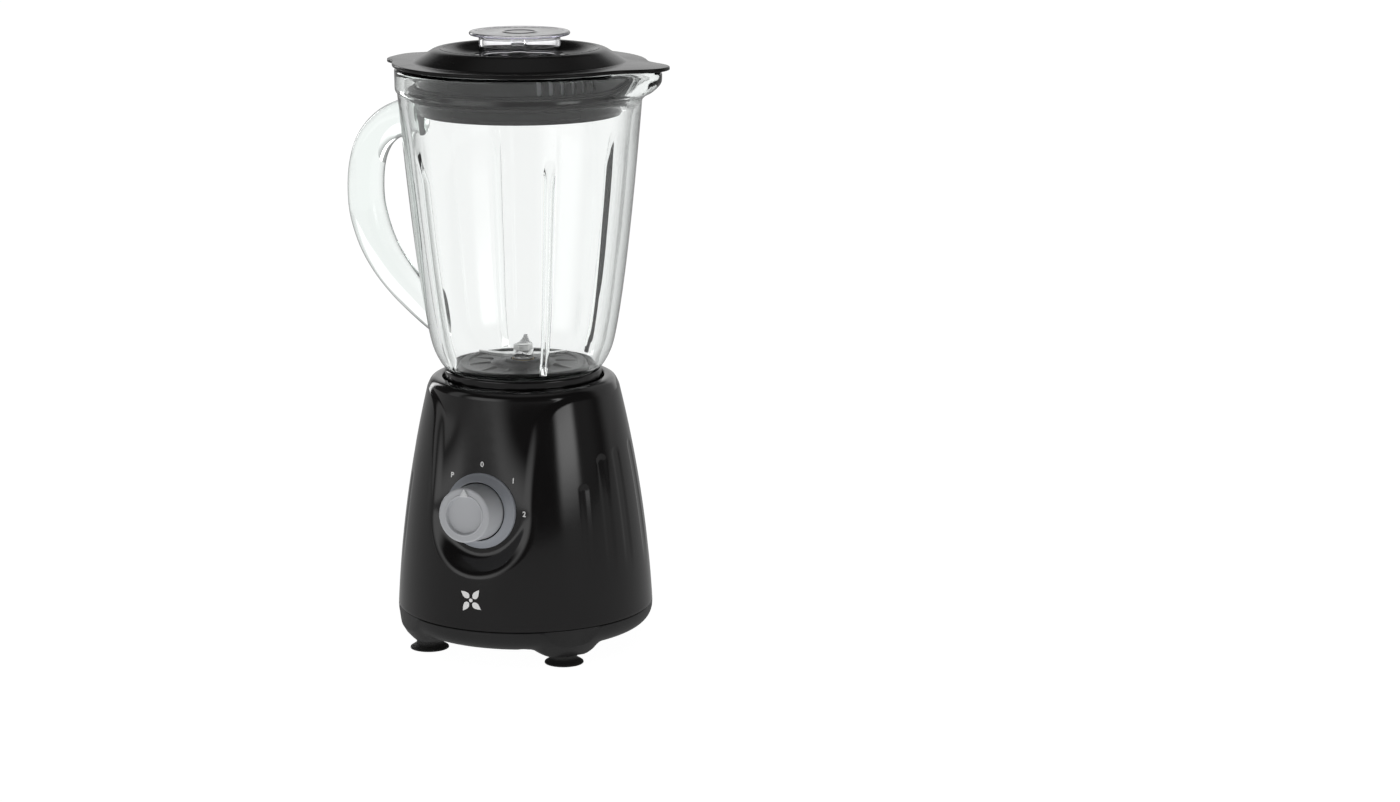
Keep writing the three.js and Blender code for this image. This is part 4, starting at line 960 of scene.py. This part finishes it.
# %% Blades and nut
def strip(low, rise, degrees, radius=27.0, half=6.2, thick=1.5):
    """Section at s in -1..1 along the strip: the half width falls to 0.26 of itself at a blunt tip, and
    beyond the bend at 0.52 the strip rises in a straight line. Edges are ground to a third of the
    thickness."""
    s = np.linspace(-1, 1, 61)[:, None]
    x = radius * s
    wide = half * (1 - 0.74 * smooth_step(np.abs(s), 0.5, 1.0)) - 0.25 * half * bump_of(np.abs(s) - 0.5, 0.12)
    lift = rise * np.maximum(np.abs(s) - 0.52, 0) / 0.48 + rise * 0.04 * bump_of(np.abs(s) - 0.52, 0.06)
    across = np.array([-1.0, -0.62, 0.0, 0.62, 1.0, 0.62, 0.0, -0.62])[None]
    tall = np.array([0.33, 1.0, 1.0, 1.0, 0.33, 0.0, 0.0, 0.0])[None]
    y = wide * across
    z = low + lift + thick * tall
    grid = closed_ends(np.stack(np.broadcast_arrays(x, y, z), -1))
    cos, sin = math.cos(math.radians(degrees)), math.sin(math.radians(degrees))
    x, y, z = np.moveaxis(grid, -1, 0)
    return np.stack([x * cos - y * sin, x * sin + y * cos, z], -1)


for level, rise, degrees in (("lower", 1.6, 20), ("upper", 4.4, 110)):
    low = span(f"blade_{level}")[0][2]
    blade, solid_name = strip(low, rise, degrees), f"blade_{level}"
    piece(f"blade_strip_{level}", blade, "blade_rotor", STEEL, [solid_name], loop=False, edge=20)

nut_low, nut_high = span("blade_nut")
NUT_R = 6.0
profile = rounded(
    [(0, nut_low[2]), (NUT_R, nut_low[2]), (NUT_R, nut_high[2] - 0.6, 0.4), (NUT_R - 1.2, nut_high[2], 0.3),
     (3.9, nut_high[2], 0.2), (3.7, nut_high[2] - 0.4), (0, nut_high[2] - 0.4)], 4,
)
angle = circle(96)[None]
flat = np.cos(np.pi / 6) / np.cos((angle % (np.pi / 3)) - np.pi / 6)
hexed = np.where(profile[:, :1] > 5.5, np.minimum(profile[:, :1], NUT_R * flat), profile[:, :1])
piece("shaft_nut", turn(hexed, angle, profile[:, 1:]), "blade_rotor", STEEL, ["blade_nut"])
washer_low, washer_high = span("blade_washer")
washer = [
    (3.95, washer_low[2]), (6, washer_low[2], 0.2), (6, washer_high[2], 0.3), (3.95, washer_high[2], 0.1),
]
piece("shaft_washer", lathe(washer, 64), "blade_rotor", STEEL, ["blade_washer"])

# %% [markdown]
# ## Glass jar
# The jar is pressed in one piece: a thick flared wall, a rim bead, a pouring spout, four ribs that
# stand into the jar to trip the liquid, and a loop handle. Wall, spout and ribs are one grid, because a
# bump on a turned surface is only a change of radius. The handle is a sweep between its outer and its
# inner line, which lets its ends slant to meet the wall, and a boolean union fuses it in.

# %% Jar wall
jar_low, jar_high = span("glass_jar")
NECK_LONG = 11.0
FOOT_Z, RIM_Z, RIM_BEAD_R = jar_low[2] + NECK_LONG, jar_high[2], 76.0
WALL_TOP_Z, GLASS_WALL, NECK_R = RIM_Z - 16.0, 5.5, 45.15
RIB_DEGREES, RIB_HALF, RIB_DEPTH, RIB_TOP = 38.5, 2.3, 4.2, RIM_Z - 50.0
RIB_AT_R = 48.0  # where the rib's half width is measured
RIBS = (RIB_DEGREES, 180 - RIB_DEGREES, 180 + RIB_DEGREES, 360 - RIB_DEGREES)
SPOUT_OUT, GLASS_FOOT_R, GLASS_FLARE = 15.0, 50.0, 24.6


def glass_radius(z):
    """The wall flares as u ^ 0.58 of its height, and tucks in a little more just over the foot."""
    u = np.clip((z - FOOT_Z) / (WALL_TOP_Z - FOOT_Z), 0, 1)
    return GLASS_FOOT_R + GLASS_FLARE * u**0.58 - 2.2 * np.exp(-(((z - FOOT_Z) / 9) ** 2))


def spout_push(angle, z, width, low, high):
    """How far the spout stands out: a flat-topped bell round +X, growing with height."""
    return bump_of(angle - np.pi / 2, width, 2.4) * smooth_step(z, low, high)


near_ribs = [np.arange(-4.5, 4.6, 0.5) + place for place in RIBS]
jar_angles = np.concatenate([np.arange(0, 360, 2.5), np.arange(62, 118, 1.25), *near_ribs]) % 360
jar_angles = np.radians(np.unique(np.round(jar_angles, 2)))[None]
outer_z = np.concatenate([np.linspace(FOOT_Z + 3.2, 200, 16), np.linspace(202, WALL_TOP_Z, 52)])[:, None]
outer_r = glass_radius(outer_z)
foot = rounded([(NECK_R - 4, FOOT_Z - NECK_LONG), (NECK_R, FOOT_Z - NECK_LONG, 0.6), (NECK_R, FOOT_Z, 0.5),
                (glass_radius(FOOT_Z) + 0.2, FOOT_Z, 1.6), (outer_r[0, 0], FOOT_Z + 3.2)], 5)[1:-1]
rim = rounded([
    (outer_r[-1, 0], WALL_TOP_Z), (RIM_BEAD_R, WALL_TOP_Z + 1.6, 1.4), (RIM_BEAD_R + 0.2, RIM_Z - 2, 0.8),
    (RIM_BEAD_R - 1.6, RIM_Z, 1.4), (RIM_BEAD_R - 4.4, RIM_Z, 1.2), (RIM_BEAD_R - 5.6, RIM_Z - 4, 1.6),
    (70.2, WALL_TOP_Z),
], 6)
rim = np.vstack([np.linspace(a, b, 5, endpoint=False) if np.linalg.norm(b - a) > 3 else a[None]
                 for a, b in zip(rim[:-1], rim[1:])] + [rim[-1:]])
inner_z = np.linspace(WALL_TOP_Z - 3, FOOT_Z + 9, 64)[:, None]
inner_r = glass_radius(inner_z) - GLASS_WALL + 0.9 * smooth_step(inner_z, 300, WALL_TOP_Z)
floor = rounded([
    (inner_r[-1, 0], FOOT_Z + 9), (inner_r[-1, 0] - 3.2, FOOT_Z + 1.6, 3.4),
    (NECK_R - 4.5, FOOT_Z + 1.2, 0.8), (NECK_R - 4.5, FOOT_Z - NECK_LONG, 0.6),
    (NECK_R - 4, FOOT_Z - NECK_LONG),
], 6)[1:-1]

radius = np.concatenate([foot[:, :1], outer_r, rim[:, :1], inner_r, floor[:, :1]])
height = np.concatenate([foot[:, 1:], outer_z, rim[:, 1:], inner_z, floor[:, 1:]])
outside = np.zeros((len(radius), 1))
outside[: len(foot) + len(outer_r) + len(rim) // 2] = 1.0
push_out = SPOUT_OUT * spout_push(jar_angles, height, 0.26, RIM_Z - 23, RIM_Z - 6)
push_in = (SPOUT_OUT - 0.5) * spout_push(jar_angles, height, 0.225, RIM_Z - 19, RIM_Z - 4)
ribbed = 0.0
for place in RIBS:
    aside = RIB_AT_R * (jar_angles - math.radians(place))
    ribbed = ribbed + np.sqrt(np.clip(1 - (aside / RIB_HALF) ** 2, 0, 1))
top_off = soft_clamp((RIB_TOP - height) / 16) * smooth_step(height, FOOT_Z + 3, FOOT_Z + 7)
radius = radius + outside * push_out + (1 - outside) * (push_in - RIB_DEPTH * ribbed * top_off)
jar_grid = turn(radius, jar_angles, height)
jar = piece("jar_glass", jar_grid, "jar", GLASS, ["glass_jar"], edge=60)

# %% Handle
# Outer line (x, z), inner line (x, z) and half width, from the root under the rim to the lower root.
HANDLE = [
    (71.0, 338.5, 69.3, 309.5, 13.5), (75.5, 336.6, 73.5, 311.5, 12.8), (85, 333.4, 81, 311.2, 12.0),
    (95.3, 327.8, 87.6, 306.5, 11.8), (105, 318.4, 91.8, 299.5, 11.9), (111.4, 307.5, 94.0, 291.5, 12.0),
    (115.2, 294.5, 94.8, 281.5, 12.0), (116.6, 280.5, 94.4, 271.0, 12.0), (116.0, 265.5, 92.2, 261.0, 12.0),
    (112.6, 251.5, 88.6, 250.5, 12.0), (107.0, 238.0, 83.6, 240.8, 11.7), (98.6, 224.8, 76.8, 231.8, 11.0),
    (87.6, 212.2, 70.0, 224.6, 10.0), (74.6, 200.5, 63.8, 219.0, 8.6), (63.4, 191.8, 60.0, 216.6, 7.4),
    (54.4, 186.0, 57.6, 215.4, 6.6),
]
line = through(HANDLE, 5)
t = circle(40)[None]
outer, inner, half = line[:, None, :2], line[:, None, 2:4], line[:, 4:]
middle, arm = (outer + inner) / 2, (outer - inner) / 2
across = middle + arm * squared(np.cos(t), 0.9)[..., None]
wide = half * squared(np.sin(t), 0.9)
sweep = np.stack([-across[..., 0], np.broadcast_to(wide, across.shape[:2]), across[..., 1]], -1)
handle = piece("handle", closed_ends(sweep), None, GLASS, loop=False)
combine(jar, [handle], "UNION")

# %% [markdown]
# ## Lid
# The lid is one black moulding. A flange covers the rim, with a tab over the spout and a short lobe over
# the handle; inside that a cone rises to a soft crest and dips to the cap's hole. A plug drops into the
# jar. The flange's outline is a circle plus two bells, and only the profile's outermost points follow
# it, so one lathe grid does the whole lid. The strainer slots are cut afterwards, and a pale plate
# stands behind them.

# %% Lid shape
lid_low = span("lid")[0]
FLANGE_Z, FLANGE_TOP, LID_R = RIM_Z + 0.35, RIM_Z + 2.65, 77.5
PLUG_R, CREST_R, DISH_R, CAP_HOLE = 63.2, 49.6, 32.6, 25.05
CREST_Z, DISH_Z, PLUG_Z = FLANGE_TOP + 9.0, FLANGE_TOP + 2.0, lid_low[2]


def lid_outline(angle):
    """Circle, plus a broad tab over the spout and a short square lobe over the handle."""
    tab = 18.6 * bump_of((angle - np.pi / 2 + np.pi) % (2 * np.pi) - np.pi, 0.245, 2.6)
    lobe = 6.8 * bump_of((angle + np.pi / 2 + np.pi) % (2 * np.pi) - np.pi, 0.27, 5.0)
    return tab + lobe


lid_profile = rounded(
    [
        (PLUG_R - 2.6, PLUG_Z), (PLUG_R - 1.9, PLUG_Z, 0.3), (PLUG_R - 1.7, PLUG_Z + 2.2, 0.3),
        (PLUG_R - 0.9, PLUG_Z + 2.9, 0.3), (PLUG_R - 0.7, PLUG_Z + 7.0, 0.3), (PLUG_R, PLUG_Z + 7.8, 0.3),
        (PLUG_R, FLANGE_Z, 0.4), (LID_R, FLANGE_Z, 0.7), (LID_R, FLANGE_TOP, 1.0), (64.6, FLANGE_TOP, 1.2),
        (CREST_R + 1.2, CREST_Z - 0.4, 4.2), (CREST_R - 4.5, CREST_Z - 1.3, 3.5),
        (DISH_R + 3, DISH_Z + 0.3, 5.0), (DISH_R - 1.0, DISH_Z, 0.5), (CAP_HOLE, DISH_Z, 0.5),
        (CAP_HOLE, DISH_Z - 10, 0.5),
        (CAP_HOLE + 2.3, DISH_Z - 10, 0.5), (CAP_HOLE + 2.3, DISH_Z - 2.4, 0.8), (DISH_R, DISH_Z - 2.4, 2),
        (CREST_R - 5, CREST_Z - 4, 2.5), (CREST_R + 1, CREST_Z - 4, 2.5), (60.5, FLANGE_Z - 0.4, 2),
        (60.8, PLUG_Z + 9, 1), (PLUG_R - 2.6, PLUG_Z + 8, 0.5),
    ], 7,
)
lid_angles = np.radians(np.unique(np.concatenate([np.arange(0, 360, 2.0), np.arange(60, 120, 0.75),
                                                  np.arange(245, 295, 0.75)])))[None]
follows = smooth_step(lid_profile[:, :1], 72.0, 75.0)
lid_grid = turn(lid_profile[:, :1] + follows * lid_outline(lid_angles), lid_angles, lid_profile[:, 1:])
lid = piece("lid_shell", lid_grid, "lid", LID_BLACK, ["lid"], edge=40)


def box_tool(radius, half_wide, low, high, angle, deep=6.0):
    """A radial block with round ends for cutting a slot through the plug."""
    t = circle(20)
    aside = half_wide * np.cos(t)
    up = np.sign(np.sin(t)) * ((high - low) / 2 - half_wide) + half_wide * np.sin(t)
    middle = (low + high) / 2
    stations = ((radius - deep, 0.0), (radius - deep, 1.0), (radius + deep, 1.0), (radius + deep, 0.0))
    rows = [beside(out, aside * share, angle, middle + up * share) for out, share in stations]
    return piece("tool", np.stack(rows), None, LID_BLACK)


SLOTS, SLOT_STEP, STRAINER, SLOT_HALF = 6, 6.5, 50.5, 1.6
SLOT_LOW, SLOT_HIGH = FLANGE_Z - 11.8, FLANGE_Z - 4.6
PLATE_IN, PLATE_OUT, PLATE_LOW, PLATE_HIGH = PLUG_R - 4.6, PLUG_R - 3.4, FLANGE_Z - 13.4, FLANGE_Z - 3.4
slots = []
for k in range(SLOTS):
    degrees = STRAINER + SLOT_STEP * (k - (SLOTS - 1) / 2)
    slots.append(box_tool(PLUG_R, SLOT_HALF, SLOT_LOW, SLOT_HIGH, math.radians(degrees)))
combine(lid, slots)
turned_to = np.radians(STRAINER + np.linspace(-21, 21, 43))[None]
plate = rounded([(PLATE_IN, PLATE_LOW), (PLATE_OUT, PLATE_LOW, 0.4), (PLATE_OUT, PLATE_HIGH, 0.4),
                 (PLATE_IN, PLATE_HIGH, 0.4), (PLATE_IN, PLATE_LOW)], 3)
plate = np.swapaxes(turn(plate[:, :1], turned_to, plate[:, 1:]), 0, 1)
piece("strainer_plate", closed_ends(plate), "lid", KNOB_GREY, loop=False)

# %% [markdown]
# ## Seal
# A soft ring with three fins fills the gap between plug and glass. It is a plain lathe, with thin ribs.

# %% Seal ring
seal_low, seal_high = span("lid_seal")
SEAL_R = seal_high[0]
fins = []
for k in range(3):
    at = seal_low[2] + 0.9 + 2.9 * k
    fins += [(PLUG_R + 2.0, at - 0.7, 0.2), (SEAL_R - 0.4, at + 0.1, 0.2), (SEAL_R - 0.1, at + 0.8, 0.2),
             (PLUG_R + 2.0, at + 1.2, 0.3)]
SEAL_IN, SEAL_CORE = PLUG_R + 0.35, PLUG_R + 2.0
seal_outline = [(SEAL_IN, seal_low[2]), *fins, (SEAL_CORE, seal_high[2], 0.3), (SEAL_IN, seal_high[2])]
piece("seal_ring", lathe(seal_outline, 192, 3), "lid", RUBBER, ["lid_seal"])

# %% [markdown]
# ## Measuring cap
# The cap is a clear cup turned upside down: a thick flat top, a skirt that hangs in the lid's hole, a
# ledge that rests on the dish, and two small lugs that lock it. Its thin walls show as bright and dark
# rings only if they have real thickness, so the profile goes all the way round the wall.

# %% Cap
cap_low, cap_high = span("measuring_cap")
CAP_R, SKIRT_R, CAP_WALL = 30.7, 24.7, 1.8
LEDGE_Z, CAP_TOP, CAP_BOTTOM = DISH_Z + 0.35, cap_high[2], cap_low[2]
cap_profile = [
    (0, CAP_TOP - 1.9), (0, CAP_TOP - 0.5), (9, CAP_TOP - 0.5, 0.2), (9.4, CAP_TOP - 0.1, 0.2),
    (10.2, CAP_TOP - 0.1, 0.2), (10.6, CAP_TOP - 0.5, 0.2), (26.5, CAP_TOP - 0.5, 0.6),
    (27.6, CAP_TOP, 0.5), (CAP_R - 0.5, CAP_TOP, 0.4), (CAP_R, CAP_TOP - 0.7, 0.5),
    (CAP_R, CAP_TOP - 1.7, 0.5), (CAP_R - 0.8, CAP_TOP - 2.1, 0.5), (SKIRT_R + 0.1, CAP_TOP - 2.4, 1.2),
    (SKIRT_R, LEDGE_Z + 1.7, 0.4), (SKIRT_R + 3.3, LEDGE_Z + 1.5, 0.4), (SKIRT_R + 3.3, LEDGE_Z, 0.4),
    (SKIRT_R, LEDGE_Z, 0.3), (SKIRT_R - 0.8, CAP_BOTTOM, 0.5), (SKIRT_R - 0.8 - CAP_WALL, CAP_BOTTOM, 0.5),
    (SKIRT_R - CAP_WALL, LEDGE_Z, 2), (SKIRT_R - CAP_WALL, CAP_TOP - 3.4, 1.3),
    (SKIRT_R - CAP_WALL - 1.6, CAP_TOP - 1.9, 0.9),
]
cap_grid = lathe(cap_profile, 160, 4)
cap = piece("clear_cap", cap_grid, "cap", CLEAR, ["measuring_cap"], edge=45)


def lug(angle):
    """A small hollow box under the cap's rim: one rounded frame of points, carried outwards and back."""
    t = circle(24)
    aside, up = 4.2 * squared(np.cos(t), 0.4), 2.3 * squared(np.sin(t), 0.4)
    stations = ((22.9, 1.0), (28.6, 1.0), (29.2, 0.9), (29.2, 0.62), (25.2, 0.55), (25.2, 0.0))
    rows = [beside(out, aside * share, angle, CAP_TOP - 3.6 + up * share) for out, share in stations]
    rows.insert(0, np.broadcast_to(rows[0].mean(0), rows[0].shape))
    return piece("lug", np.stack(rows), None, CLEAR, loop=False)


combine(cap, [lug(math.radians(22 + 180 * k)) for k in range(2)], "UNION")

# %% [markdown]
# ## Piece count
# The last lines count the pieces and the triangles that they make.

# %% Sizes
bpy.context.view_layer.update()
triangles = sum(len(made.data.loop_triangles) or len(made.data.polygons) * 2 for made in PIECES.values())
print("pieces", len(PIECES), "triangles", triangles)
